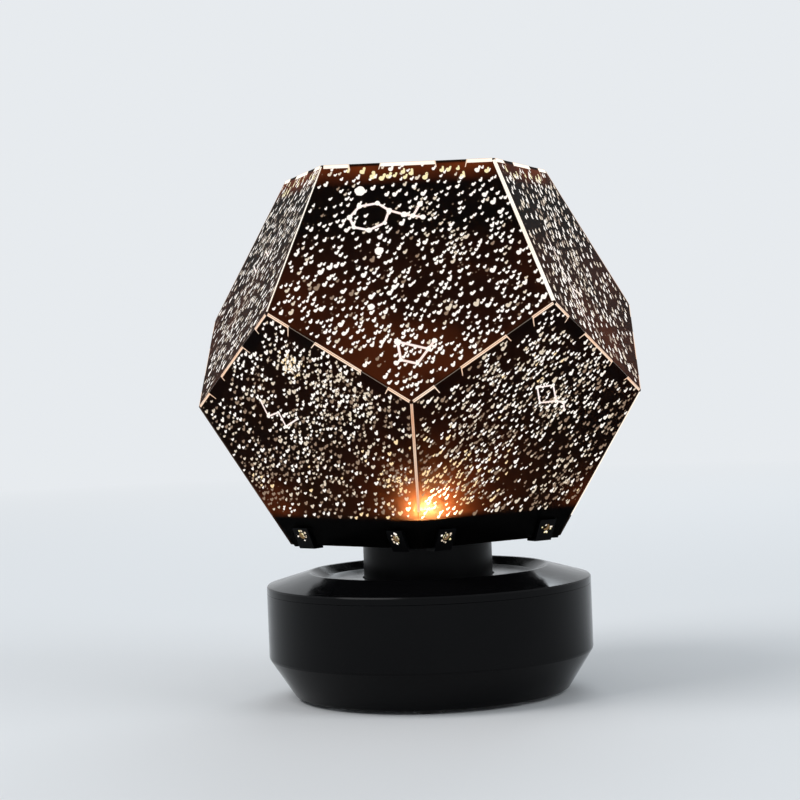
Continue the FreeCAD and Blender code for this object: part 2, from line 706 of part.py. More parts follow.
def make_shade_tray():
    """Pentagonal tray: floor, flange flared behind the film, and clips round its edge."""
    body = new_body("shade_tray")
    film = dim.film_thickness
    distance = FACE_DISTANCE * dim.panel_edge
    apothem = PANEL_APOTHEM * dim.panel_edge
    inner_apothem = PANEL_APOTHEM / FACE_DISTANCE * (distance - film)
    foot = (distance - LEAN_SIN * (distance - film)) / LEAN_COS
    lip = foot - dim.tray_flange_height / LEAN_COS
    foot_half = (inner_apothem - SIDE_SIN * foot) / SIDE_COS
    lip_half = (inner_apothem - SIDE_SIN * lip) / SIDE_COS
    flange = lower_panel_sketch(body, "flange", film)
    draw_polygon(flange, [(-foot_half, foot), (foot_half, foot), (lip_half, lip), (-lip_half, lip)])
    pad_panels(body, flange, dim.tray_wall)
    floor = new_sketch(body, "floor", z=tray_low)
    draw_pentagon(floor, (apothem - film / LEAN_COS) / math.cos(math.radians(36)), TRAY_TURN)
    pad(body, floor, dim.tray_floor)

    clip_low = tray_low - dim.clip_thickness
    outside = apothem + dim.clip_thickness / LEAN_COS
    clips = []
    for side, name in ((-1, "left_clip"), (1, "right_clip")):
        sketch = new_sketch(body, name, "YZ_Plane", z=side * dim.clip_place * dim.panel_edge)
        draw_polygon(sketch, [
            (apothem - dim.clip_reach, clip_low),
            (outside - LEAN_SLOPE * dim.clip_thickness, clip_low),
            (outside + LEAN_SLOPE * dim.clip_height, tray_low + dim.clip_height),
            (apothem + LEAN_SLOPE * dim.clip_height, tray_low + dim.clip_height),
            (apothem, tray_low),
            (apothem - dim.clip_reach, tray_low),
        ])
        clips.append(pad(body, sketch, dim.clip_width, both_ways=True))
    repeat_round(body, clips, PENTAGON_SIDES)
    cut_clip_holes(body)
    bore = sleeve_radius + dim.press_clearance
    floor_top_level = tray_low + dim.tray_floor
    cut_circles(body, "centre_hole", [(0, 0)], bore, tray_low, floor_top_level)
    cut_circles(body, "screw_holes", tray_screw_places, small_pass, tray_low, floor_top_level)


# ------------------------------------------------------------------ hub and gear train
def make_hub():
    """Moulded neck: outer tube, bearing sleeve, top plate, ribs and screw bosses."""
    body = new_body("hub")
    tube_bore = dim.neck_radius - dim.neck_wall
    plate_low = tray_low - dim.hub_top
    turned(body, "section", [
        (sleeve_bore, sleeve_low),
        (sleeve_radius, sleeve_low),
        (sleeve_radius, plate_low),
        (tube_bore, plate_low),
        (tube_bore, gear_top),
        (dim.neck_radius, gear_top),
        (dim.neck_radius, tray_low),
        (sleeve_radius, tray_low),
        (sleeve_radius, spigot_top),
        (sleeve_bore, spigot_top),
    ])
    sketch = new_sketch(body, "ribs", z=gear_top + dim.hub_rib_set_back)
    inner = sleeve_bore + dim.sleeve_wall / 2
    outer = dim.neck_radius - dim.neck_wall / 2
    draw_rectangle(sketch, inner, -dim.hub_rib / 2, outer, dim.hub_rib / 2)
    rib = pad(body, sketch, plate_low - gear_top - dim.hub_rib_set_back)
    repeat_round(body, [rib], len(QUARTER_TURNS))
    pad_circles(
        body, "gear_bosses", gear_screw_places, dim.hub_boss_radius, gear_top, plate_low
    )
    pad_circles(
        body, "tray_bosses", tray_screw_places, dim.hub_boss_radius,
        tray_low - dim.tray_boss_depth, plate_low,
    )
    cut_circles(
        body, "gear_pilots", gear_screw_places, small_pilot,
        gear_top, gear_top + dim.gear_screw_length,
    )
    cut_circles(
        body, "tray_pilots", tray_screw_places, small_pilot,
        tray_low - dim.tray_screw_length, tray_low,
    )


def involute(angle):
    return math.tan(angle) - angle


def tooth_gap_points(teeth, middle):
    """Outline of one gap between involute teeth, centred on an angle in degrees."""
    count = teeth.value
    pitch = count / 2
    base = pitch * math.cos(PRESSURE_ANGLE)
    thin = dim.tooth_backlash.value / dim.gear_module.value / 2
    radii = [pitch - DEDENDUM] + [max(base, pitch + step) for step in FLANK_STEPS]
    left, right = [], []
    for radius in radii:
        pressure = math.acos(min(1, base / max(radius, base)))
        half_tooth = math.pi / (2 * count) + involute(PRESSURE_ANGLE) - involute(pressure)
        half_gap = math.pi / count - half_tooth + thin / pitch
        centre = math.radians(middle)
        for side, points in ((-1, left), (1, right)):
            angle = centre + side * half_gap
            points.append((
                dim.gear_module * (radius * math.cos(angle)),
                dim.gear_module * (radius * math.sin(angle)),
            ))
    return right + left[::-1]


def cut_teeth(body, teeth, middle, low, high):
    sketch = new_sketch(body, "tooth_gap", z=high)
    draw_polygon(sketch, tooth_gap_points(teeth, middle))
    gap = pocket(body, sketch, high - low)
    repeat_round(body, [gap], teeth)


def make_turntable_gear():
    """Spur gear screwed to the foot of the hub, with a thin web and a full-depth rim."""
    body = new_body("turntable_gear")
    tip = gear_pitch_radius + ADDENDUM * dim.gear_module
    rim = gear_pitch_radius - DEDENDUM * dim.gear_module - dim.gear_rim
    web_low = gear_top - dim.gear_web
    bore = sleeve_radius + dim.gear_fit
    boss = bore + dim.gear_boss_wall
    turned(body, "blank", [
        (bore, gear_low),
        (boss, gear_low),
        (boss, web_low),
        (rim, web_low),
        (rim, gear_low),
        (tip, gear_low),
        (tip, gear_top),
        (bore, gear_top),
    ])
    cut_teeth(body, dim.gear_teeth, -PINION_MESH_ANGLE, gear_low, gear_top)
    cut_circles(body, "screw_holes", gear_screw_places, small_pass, web_low, gear_top)
    window_place = (boss + rim) / 2
    windows = [on_circle(window_place, angle) for angle in DIAGONALS]
    cut_circles(body, "windows", windows, dim.gear_window_radius, web_low, gear_top)


def make_drive_pinion():
    """Pinion on the motor shaft; one of its teeth points at the ring gear."""
    body = new_body("drive_pinion", y=-centre_distance)
    tip = pinion_pitch_radius + ADDENDUM * dim.gear_module
    low = motor_top + dim.motor_boss_height + dim.gear_rim / 3
    high = gear_top + dim.collar_gap
    bore = dim.motor_shaft_radius + dim.press_clearance
    turned(body, "blank", [(bore, low), (tip, low), (tip, high), (bore, high)])
    half_pitch = 180 / dim.pinion_teeth.value
    cut_teeth(body, dim.pinion_teeth, PINION_MESH_ANGLE + half_pitch, low, high)


def make_motor_shaft():
    body = new_body("motor_shaft", y=-centre_distance)
    high = gear_top + dim.collar_gap + dim.motor_boss_height / 2
    low = motor_top - dim.motor_shaft_depth
    turned(body, "section", [
        (0, low), (dim.motor_shaft_radius, low), (dim.motor_shaft_radius, high), (0, high),
    ])


def make_gear_motor():
    """Can motor with its reduction gear inside, a bearing boss and two ears."""
    body = new_body("gear_motor", y=-centre_distance)
    bore = dim.motor_shaft_radius + dim.running_clearance
    boss_top = motor_top + dim.motor_boss_height
    bore_low = motor_top - dim.motor_shaft_depth - dim.cell_gap
    turned(body, "can", [
        (0, deck_top),
        (dim.motor_radius - dim.motor_chamfer, deck_top),
        (dim.motor_radius, deck_top + dim.motor_chamfer),
        (dim.motor_radius, motor_top),
        (dim.motor_boss_radius, motor_top),
        (dim.motor_boss_radius, boss_top),
        (bore, boss_top),
        (bore, bore_low),
        (0, bore_low),
    ])
    ear_places = [(motor_ear_place, 0), (-motor_ear_place, 0)]
    ear_low = motor_top - dim.motor_ear_thickness
    sketch = new_sketch(body, "ear_bar", z=ear_low)
    for side in (-1, 1):
        inner = side * (dim.motor_radius - dim.motor_boss_height)
        outer = side * motor_ear_place
        draw_rectangle(sketch, inner, -dim.motor_ear_radius, outer, dim.motor_ear_radius)
    pad(body, sketch, dim.motor_ear_thickness)
    pad_circles(body, "ear_ends", ear_places, dim.motor_ear_radius, ear_low, motor_top)
    cut_circles(body, "ear_holes", ear_places, small_pass, ear_low, motor_top)


def make_thrust_washer():
    body = new_body("thrust_washer")
    bore = dim.post_radius + dim.running_clearance * 2
    turned(body, "section", [
        (bore, shoulder),
        (shoulder_radius, shoulder),
        (shoulder_radius, sleeve_low),
        (bore, sleeve_low),
    ])


# ------------------------------------------------------------------ lamp
def make_lamp_post():
    """Fixed hollow post: flange on the deck, shoulder for the washer, journal for the hub."""
    body = new_body("lamp_post")
    turned(body, "section", [
        (dim.post_bore, post_foot),
        (flange_radius, post_foot),
        (flange_radius, post_flange_top),
        (shoulder_radius, post_flange_top),
        (shoulder_radius, shoulder),
        (dim.post_radius, shoulder),
        (dim.post_radius, post_top),
        (dim.post_bore, post_top),
    ])
    cut_circles(body, "foot_holes", post_screw_places, small_pass, post_foot, post_flange_top)
    pilot_low = sink_top + dim.lamp_board_thickness - dim.lamp_screw_length
    cut_circles(body, "lamp_pilots", lamp_screw_places, small_pilot, pilot_low, post_top)


def make_led_heatsink():
    """Finned disc that closes the post and keeps the hub from lifting off."""
    body = new_body("led_heatsink")
    sketch = new_sketch(body, "section", "XZ_Plane")
    core_radius = lamp_screw_place + small_pass + dim.sink_core_edge
    points = [(0, post_top), (sink_radius, post_top)]
    level = post_top
    for step in range(int(dim.sink_fin_count.value) * 2 - 2):
        level = level + dim.sink_fin
        near, far = sink_radius, core_radius
        if step % 2:
            near, far = far, near
        points += [(near, level), (far, level)]
    points += [(sink_radius, sink_top), (0, sink_top)]
    draw_polygon(sketch, points)
    revolve(body, sketch)
    cut_circles(body, "screw_holes", lamp_screw_places, small_pass, post_top, sink_top)
    cut_circles(body, "lead_hole", [(0, 0)], dim.post_bore, post_top, sink_top)


def make_led_board():
    """Round aluminium board with two lead holes."""
    body = new_body("led_board")
    radius = sink_radius - dim.lamp_board_step
    pad_circles(body, "disc", [(0, 0)], radius, sink_top, lamp_board_top)
    cut_circles(body, "screw_holes", lamp_screw_places, small_pass, sink_top, lamp_board_top)


def make_led_emitter():
    body = new_body("led_emitter")
    sketch = new_sketch(body, "package", z=lamp_board_top)
    half = dim.emitter_side / 2
    draw_rectangle(sketch, -half, -half, half, half)
    pad(body, sketch, dim.emitter_height)


def make_led_lens():
    """Clear half-round dome over the emitter."""
    lens = doc.addObject("Part::Sphere", "led_lens")
    lens.Angle1 = 0
    bind(lens, "Radius", dim.lens_radius)
    bind(lens, "Placement.Base.z", emitter_top)
    sub_parts.append(lens)


# ------------------------------------------------------------------ housing
def make_base_shell():
    """Lower housing: bevelled wall, battery bay, screw posts and button guides."""
    body = new_body("base_shell")
    tongue = base_inner + dim.seam_tongue

    sketch = new_sketch(body, "guides", "XZ_Plane", z=-dim.base_radius)
    for side in (-1, 1):
        draw_circle(sketch, side * dim.button_spread, button_height, guide_radius)
    pad(body, sketch, dim.base_radius - guide_reach)
    turned(body, "wall", eased([
        (0, floor_low),
        (foot_radius, floor_low),
        (dim.base_radius, bevel_top),
        (dim.base_radius, seam),
        (tongue, seam),
        (tongue, seam + dim.seam_tongue),
        (base_inner, seam + dim.seam_tongue),
        (base_inner, bevel_top + dim.shell_wall / 4),
        (foot_radius - dim.shell_wall / 2, floor_top),
        (0, floor_top),
    ], {1: dim.edge_break, 2: dim.edge_break, 3: dim.seam_break}))
    trim = new_sketch(body, "trim", "XZ_Plane")
    draw_rectangle(trim, dim.base_radius, bevel_top, dim.base_radius * 1.2, seam)
    revolve(body, trim, "Groove")

    half_x = bay_half_length + dim.bay_wall
    half_y = bay_half_width + dim.bay_wall
    block = new_sketch(body, "bay_block", z=floor_top)
    draw_rectangle(block, -half_x, -half_y, half_x, half_y)
    pad(body, block, deck_low - floor_top)
    pad_circles(
        body, "housing_posts", housing_places, dim.housing_post_radius,
        floor_top, floor_top + dim.housing_post_height,
    )
    pad_circles(body, "deck_bosses", deck_places, dim.deck_boss_radius, floor_top, deck_low)

    bay = new_sketch(body, "bay", z=bay_ceiling)
    draw_rectangle(bay, -bay_half_length, -bay_half_width, bay_half_length, bay_half_width)
    pocket(body, bay, bay_ceiling - floor_low)
    hinge = new_sketch(body, "hinge_sockets", "XZ_Plane")
    socket = dim.hinge_pin_radius + dim.running_clearance
    draw_circle(hinge, hinge_x, hinge_z, socket)
    pocket(body, hinge, (bay_half_width + dim.hinge_pin_length) * 2, both_ways=True)
    latch = new_sketch(body, "latch_relief", z=floor_low + dim.latch_relief)
    latch_half = dim.latch_width / 2 + dim.door_gap
    latch_end = bay_half_length + dim.latch_reach + dim.latch_thickness
    draw_rectangle(latch, bay_half_length - dim.door_gap, -latch_half, latch_end, latch_half)
    pocket(body, latch, dim.latch_relief)

    foot_bore = dim.foot_radius + dim.press_clearance
    cut_circles(
        body, "foot_recesses", foot_places, foot_bore, floor_low, floor_low + dim.foot_recess
    )
    post_top_height = floor_top + dim.housing_post_height
    cut_circles(body, "post_bores", housing_places, large_pass, floor_low, post_top_height)
    cut_circles(
        body, "head_bores", housing_places, dim.large_head + dim.screw_hole_gap,
        floor_low, housing_seat,
    )
    cut_circles(
        body, "deck_pilots", deck_places, large_pilot,
        deck_top - dim.deck_screw_length, deck_low,
    )
    bores = new_sketch(body, "button_bores", "XZ_Plane", z=-guide_reach)
    for side in (-1, 1):
        draw_circle(
            bores, side * dim.button_spread, button_height,
            dim.button_radius + dim.button_running_gap,
        )
    pocket(body, bores, dim.base_radius - guide_reach)


def make_top_cover():
    """Bevelled cover with a raised rim, a dished middle and a collar round the neck."""
    body = new_body("top_cover")
    slope = dim.cover_bevel_height / dim.cover_bevel_width
    lip = base_inner + dim.seam_tongue + dim.seam_clearance
    rebate_top = seam + dim.seam_tongue + dim.seam_clearance
    inner = base_inner - dim.seam_clearance
    hole = dim.neck_radius + dim.neck_gap
    rim_inner = rim_radius - dim.rim_width
    dish_edge = rim_inner - dim.dish_slope_width
    under_rim = rim_top - dim.cover_wall
    turned(body, "section", eased([
        (hole, gear_top + dim.collar_gap),
        (hole + dim.cover_wall, gear_top + dim.collar_gap),
        (hole + dim.cover_wall, dish_under),
        (dish_edge - dim.cover_wall / 2, dish_under),
        (rim_inner - dim.cover_wall / 2, under_rim),
        (rim_radius - dim.cover_wall / 4, under_rim),
        (inner, under_rim - slope * (inner - rim_radius + dim.cover_wall / 4)),
        (inner, rebate_top),
        (lip, rebate_top),
        (lip, seam),
        (dim.base_radius, seam),
        (dim.base_radius, cover_edge),
        (rim_radius, rim_top),
        (rim_inner, rim_top),
        (dish_edge, dish_floor),
        (hole, dish_floor),
    ], {10: dim.seam_break, 11: dim.edge_break, 12: dim.edge_break / 2, 13: dim.edge_break / 2}))
    post_low = floor_top + dim.housing_post_height + dim.press_clearance
    pad_circles(
        body, "posts", housing_places, dim.cover_post_radius, post_low,
        under_rim + dim.cover_wall / 4,
    )
    cut_circles(
        body, "pilots", housing_places, large_pilot,
        post_low, housing_seat + dim.housing_screw_length,
    )


def make_rubber_feet():
    body = new_body("rubber_feet")
    pad_circles(
        body, "feet", foot_places, dim.foot_radius, sized(0), floor_low + dim.foot_recess
    )


# ------------------------------------------------------------------ battery bay
def make_battery_door():
    """Door with a rounded hinge edge, two pins and a finger latch."""
    body = new_body("battery_door")
    near = bay_half_length - dim.door_gap
    half_width = bay_half_width - dim.door_gap
    plate = new_sketch(body, "plate", z=floor_low)
    draw_rectangle(plate, hinge_x, -half_width, near, half_width)
    pad(body, plate, dim.shell_floor)
    edge = new_sketch(body, "hinge_edge", "XZ_Plane")
    draw_circle(edge, hinge_x, hinge_z, dim.shell_floor / 2)
    pad(body, edge, half_width * 2, both_ways=True)
    pins = new_sketch(body, "pins", "XZ_Plane")
    draw_circle(pins, hinge_x, hinge_z, dim.hinge_pin_radius)
    pad(body, pins, (bay_half_width + dim.hinge_pin_length - dim.door_gap) * 2, both_ways=True)
    latch = new_sketch(body, "latch", z=floor_low)
    latch_half = dim.latch_width / 2
    draw_rectangle(latch, near - dim.latch_reach, -latch_half, near + dim.latch_reach, latch_half)
    pad(body, latch, dim.latch_thickness)


def cell_rows():
    """Y place and direction of each cell: neighbours point opposite ways."""
    return [(cell_pitch * row, 1 if row else -1) for row in (-1, 0, 1)]


def make_battery_cells():
    body = new_body("battery_cells")
    reach = bay_half_length - dim.contact_stand
    for index, (place, way) in enumerate(cell_rows()):
        sketch = new_sketch(body, f"cell_{index}", y=place, z=cell_axis)
        tip = way * reach
        shoulder_x = way * (reach - dim.cell_nub_height)
        tail = way * (reach - dim.cell_length)
        draw_polygon(sketch, [
            (tail, 0),
            (tip, 0),
            (tip, dim.cell_nub_radius),
            (shoulder_x, dim.cell_nub_radius),
            (shoulder_x, cell_radius),
            (tail, cell_radius),
        ])
        revolve(body, sketch, axis="H_Axis")


def make_contact_plates():
    """Plates that join the cells in series, with a raised contact for each nub."""
    body = new_body("contact_plates")
    half_width, half_height = cell_radius * CONTACT_WIDTH, cell_radius * CONTACT_HEIGHT
    rows = (-1, 0, 1)
    spans = [(1, rows[1], rows[2]), (1, rows[0], rows[0]), (-1, rows[0], rows[1]),
             (-1, rows[2], rows[2])]
    for index, (side, first, last) in enumerate(spans):
        wall = side * bay_half_length
        sketch = new_sketch(body, f"plate_{index}", "YZ_Plane", z=wall)
        draw_rectangle(
            sketch,
            cell_pitch * first - half_width, cell_axis - half_height,
            cell_pitch * last + half_width, cell_axis + half_height,
        )
        pad(body, sketch, dim.plate_thickness, reverse=side > 0)
    for index, (place, way) in enumerate(cell_rows()):
        wall = way * (bay_half_length - dim.plate_thickness)
        sketch = new_sketch(body, f"bump_{index}", "YZ_Plane", z=wall)
        draw_circle(sketch, place, cell_axis, dim.cell_nub_radius)
        pad(body, sketch, dim.contact_stand - dim.plate_thickness, reverse=way > 0)


def make_battery_springs():
    """Conical springs between the plates and the cells' flat ends."""
    body = new_body("battery_springs")
    length = dim.spring_room - dim.plate_thickness - dim.spring_wire
    for index, (place, way) in enumerate(cell_rows()):
        wall = way * (-bay_half_length + dim.plate_thickness + dim.spring_wire / 2)
        sketch = new_sketch(body, f"wire_{index}", x=wall, y=place, z=cell_axis)
        half = dim.spring_wire / 2
        draw_rectangle(sketch, -half, dim.spring_radius - half, half, dim.spring_radius + half)
        coil = body.newObject("PartDesign::AdditiveHelix", f"coil_{index}")
        coil.Profile = sketch
        coil.ReferenceAxis = (sketch, ["H_Axis"])
        coil.Mode = 1
        bind(coil, "Pitch", length / dim.spring_turns)
        bind(coil, "Turns", dim.spring_turns)
        bind(coil, "Angle", -dim.spring_cone)
        coil.Reversed = way > 0


# ------------------------------------------------------------------ deck and controls
def make_gear_deck():
    """Plate over the battery bay with seats for the motor, lamp post and control board."""
    body = new_body("gear_deck")
    pad_circles(body, "round", [(0, 0)], deck_radius, deck_low, deck_top)
    pad_circles(body, "screw_ears", deck_places, dim.deck_boss_radius, deck_low, deck_top)
    wings = new_sketch(body, "wings", z=deck_low)
    draw_rectangle(
        wings, -dim.wing_half_width, -wing_length, dim.wing_half_width, wing_length
    )
    pad(body, wings, dim.deck_thickness)
    pad_circles(body, "post_pad", [(0, 0)], flange_radius, deck_top, post_foot)
    ear_low = motor_top - dim.motor_ear_thickness
    pad_circles(
        body, "motor_bosses", motor_screw_places, dim.motor_ear_radius, deck_top, ear_low
    )
    bracket = new_sketch(body, "brackets", z=deck_top)
    board_middle = board_rear - dim.board_thickness / 2
    for side in (-1, 1):
        inner = side * (dim.board_half_width - dim.bracket_slot)
        outer = side * (dim.board_half_width - dim.bracket_slot + dim.bracket_width)
        draw_rectangle(
            bracket,
            inner, board_middle - dim.bracket_depth / 2,
            outer, board_middle + dim.bracket_depth / 2,
        )
    pad(body, bracket, dim.bracket_height)
    slots = new_sketch(body, "board_slots", z=deck_top + dim.bracket_height)
    slot_half = dim.board_thickness / 2 + dim.board_gap
    slot_end = dim.board_half_width + dim.board_gap
    draw_rectangle(
        slots, -slot_end, board_middle - slot_half, slot_end, board_middle + slot_half
    )
    pocket(body, slots, dim.bracket_height)

    channel = new_sketch(body, "lead_channel", z=post_foot)
    half = dim.lead_channel / 2
    draw_rectangle(channel, -half, -half, half, flange_radius + dim.lead_channel)
    pocket(body, channel, dim.deck_pad_height)
    cut_circles(body, "deck_holes", deck_places, large_pass, deck_low, deck_top)
    cut_circles(
        body, "motor_pilots", motor_screw_places, small_pilot,
        motor_top - dim.motor_screw_length, ear_low,
    )
    cut_circles(
        body, "post_pilots", post_screw_places, small_pilot,
        post_flange_top - dim.post_screw_length, post_foot,
    )


def make_control_board():
    """Upright circuit board behind the buttons, with its parts on the inner face."""
    body = new_body("control_board")
    sketch = new_sketch(body, "outline", "XZ_Plane", z=-board_rear)
    draw_rectangle(
        sketch,
        -dim.board_half_width, deck_top,
        dim.board_half_width, button_height + dim.switch_side / 2 + dim.board_margin,
    )
    pad(body, sketch, dim.board_thickness)
    inner_face = board_rear - dim.board_thickness
    chip = new_sketch(body, "chip", "XZ_Plane", z=-inner_face)
    half_width, half_height = dim.chip_width / 2, dim.chip_height / 2
    draw_rectangle(
        chip, -half_width, button_height - half_height, half_width, button_height + half_height
    )
    pad(body, chip, dim.chip_thickness)
    capacitor = new_sketch(body, "capacitor", "XZ_Plane", z=-inner_face)
    draw_circle(capacitor, dim.button_spread, button_height, dim.capacitor_radius)
    pad(body, capacitor, dim.capacitor_length)
    socket = new_sketch(body, "lead_socket", "XZ_Plane", z=-inner_face)
    half_width, half_height = dim.socket_width / 2, dim.socket_height / 2
    draw_rectangle(
        socket,
        -dim.button_spread - half_width, button_height - half_height,
        -dim.button_spread + half_width, button_height + half_height,
    )
    pad(body, socket, dim.socket_depth)


def make_switch(label, side):
    """Push switch with a round hole for the button's stem."""
    body = new_body(label)
    sketch = new_sketch(body, "case", "XZ_Plane", z=-switch_face)
    half = dim.switch_side / 2
    middle = side * dim.button_spread
    draw_rectangle(
        sketch,
        middle - half, button_height - half,
        middle + half, button_height + half,
    )
    pad(body, sketch, dim.switch_depth)
    bore = new_sketch(body, "plunger_hole", "XZ_Plane", z=-switch_face)
    radius = dim.button_stem_radius + dim.button_running_gap
    draw_circle(bore, middle, button_height, radius)
    pocket(body, bore, dim.stem_entry + dim.button_travel + dim.stem_gap, reverse=True)


def make_button(label, side):
    """Round push button built along its own Z axis, which points out of the rear wall."""
    body = new_body(
        label,
        x=side * dim.button_spread, y=button_reach, z=button_height,
        axis=(1, 0, 0), degrees=-90,
    )
    flange_high = button_flange_high - button_reach
    flange_low = button_flange_low - button_reach
    stem_low = switch_face - dim.stem_entry - button_reach
    catch_radius = dim.button_radius + dim.button_flange_step
    turned(body, "section", [
        (0, stem_low),
        (dim.button_stem_radius, stem_low),
        (dim.button_stem_radius, flange_low),
        (catch_radius, flange_low),
        (catch_radius, flange_high),
        (dim.button_radius, flange_high),
        (dim.button_radius, -dim.button_edge),
        (dim.button_radius - dim.button_edge, 0),
        (0, 0),
    ])


# ------------------------------------------------------------------ assembly
hinge_x = -bay_half_length + dim.door_gap + dim.shell_floor / 2
hinge_z = floor_low + dim.shell_floor / 2
housing_seat = floor_top + dim.large_head_height

make_shade_cap()
make_shade_upper_ring()
make_shade_lower_ring()
make_shade_tray()
make_hub()
make_turntable_gear()
make_drive_pinion()
make_motor_shaft()
make_gear_motor()
make_thrust_washer()
make_lamp_post()
make_led_heatsink()
make_led_board()
make_led_emitter()
make_led_lens()
make_base_shell()
make_top_cover()
make_rubber_feet()
make_battery_door()
make_battery_cells()
make_contact_plates()
make_battery_springs()
make_gear_deck()
make_control_board()
make_switch("lamp_switch", -1)
make_switch("spin_switch", 1)
make_button("lamp_button", -1)
make_button("spin_button", 1)
screw_set(
    "housing_screws", housing_places, housing_seat, dim.housing_screw_length, LARGE_SCREW,
    head_up=False,
)
screw_set("deck_screws", deck_places, deck_top, dim.deck_screw_length, LARGE_SCREW)
screw_set("motor_screws", motor_screw_places, motor_top, dim.motor_screw_length, SMALL_SCREW)
screw_set("post_screws", post_screw_places, post_flange_top, dim.post_screw_length, SMALL_SCREW)
screw_set(
    "gear_screws", gear_screw_places, gear_top - dim.gear_web,
    dim.gear_web + dim.gear_screw_length, SMALL_SCREW, head_up=False,
)
screw_set(
    "tray_screws", tray_screw_places, tray_low + dim.tray_floor,
    dim.tray_floor + dim.tray_screw_length, SMALL_SCREW,
)
screw_set("lamp_screws", lamp_screw_places, lamp_board_top, dim.lamp_screw_length, SMALL_SCREW)


# ------------------------------------------------------------------ check and export
def check_document():
    """Stop if any object failed to compute or any sub-part is not sound."""
    faults = [
        f"{item.Label}: {', '.join(item.State)}"
        for item in doc.Objects
        if "Invalid" in item.State or "Error" in item.State
    ]
    faults += [
        f"{body.Label}: no sound shape"
        for body in sub_parts
        if body.Shape.isNull() or not body.Shape.isValid() or body.Shape.Volume <= 0
    ]
    if faults:
        raise RuntimeError("; ".join(faults))


doc.recompute()
check_document()
os.makedirs("parts", exist_ok=True)
for sub_part in sub_parts:
    sub_part.Shape.exportStep(f"parts/{sub_part.Label}.step")
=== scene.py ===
"""Looks of the planetarium projector: star film and its marks, plastics, metals, studio."""
import math
import random
from collections import namedtuple

import bmesh
import bpy
from mathutils import Matrix, Vector


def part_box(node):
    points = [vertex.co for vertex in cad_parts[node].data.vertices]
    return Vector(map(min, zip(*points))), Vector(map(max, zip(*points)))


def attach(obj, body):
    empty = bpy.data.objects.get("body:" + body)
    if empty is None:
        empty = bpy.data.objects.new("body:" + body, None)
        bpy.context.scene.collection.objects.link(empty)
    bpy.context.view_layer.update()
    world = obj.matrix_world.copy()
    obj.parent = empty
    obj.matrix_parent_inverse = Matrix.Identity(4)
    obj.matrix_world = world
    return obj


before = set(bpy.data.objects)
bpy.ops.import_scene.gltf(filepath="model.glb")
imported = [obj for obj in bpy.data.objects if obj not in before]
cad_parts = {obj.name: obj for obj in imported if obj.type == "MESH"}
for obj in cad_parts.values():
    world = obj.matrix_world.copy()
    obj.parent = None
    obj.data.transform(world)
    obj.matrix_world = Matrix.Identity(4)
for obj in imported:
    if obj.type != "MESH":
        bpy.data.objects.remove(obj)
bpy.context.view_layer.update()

MM = 0.001

# ------------------------------------------------------------------ camera
IMAGE_SIZE = 800
FOCAL_PIXELS = 2108.8
SENSOR_WIDTH = 36.0
CAMERA_PLACE = Vector((0.0321, -0.7730, 0.1233))
CAMERA_YAW = 0.0518
CAMERA_PITCH = 0.0201
CAMERA_ROLL = 0.0387
CAMERA_RANGE = (0.01, 50)


def make_camera():
    level = Vector((math.cos(CAMERA_YAW), math.sin(CAMERA_YAW), 0))
    ahead = Vector((-math.sin(CAMERA_YAW), math.cos(CAMERA_YAW), 0)) * math.cos(CAMERA_PITCH)
    ahead.z = -math.sin(CAMERA_PITCH)
    above = level.cross(ahead)
    right = level * math.cos(CAMERA_ROLL) - above * math.sin(CAMERA_ROLL)
    up = level * math.sin(CAMERA_ROLL) + above * math.cos(CAMERA_ROLL)
    data = bpy.data.cameras.new("camera")
    data.sensor_width = SENSOR_WIDTH
    data.lens = FOCAL_PIXELS / IMAGE_SIZE * SENSOR_WIDTH
    data.clip_start, data.clip_end = CAMERA_RANGE
    camera = bpy.data.objects.new("camera", data)
    bpy.context.scene.collection.objects.link(camera)
    turn = Matrix((right, up, -ahead)).transposed()
    camera.matrix_world = Matrix.Translation(CAMERA_PLACE) @ turn.to_4x4()
    bpy.context.scene.camera = camera
    return right, up, ahead


camera_right, camera_up, camera_ahead = make_camera()


# ------------------------------------------------------------------ shade geometry
FIFTH = 72
HALF_FIFTH = math.radians(FIFTH / 2)
PENTAGON_APOTHEM = 1 / (2 * math.tan(HALF_FIFTH))
PENTAGON_CORNER = 1 / (2 * math.sin(HALF_FIFTH))
FACE_DISTANCE = math.sqrt((25 + 11 * math.sqrt(5)) / 40)
FACE_LEAN = math.atan(0.5)
FIRST_CORNERS = {"cap": -126, "upper": -90, "lower": 90}
FRONT_UPPER, FRONT_LOWER = -90, -54
SAME_PLACE = 1e-6

shade_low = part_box("shade_lower_ring")[0].z
shade_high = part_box("shade_cap")[1].z
shade_centre = Vector((0, 0, (shade_low + shade_high) / 2))
panel_edge = (shade_high - shade_low) / (2 * FACE_DISTANCE)
lens_low, lens_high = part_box("led_lens")
lamp_place = Vector((0, 0, (lens_low.z + lens_high.z) / 2))


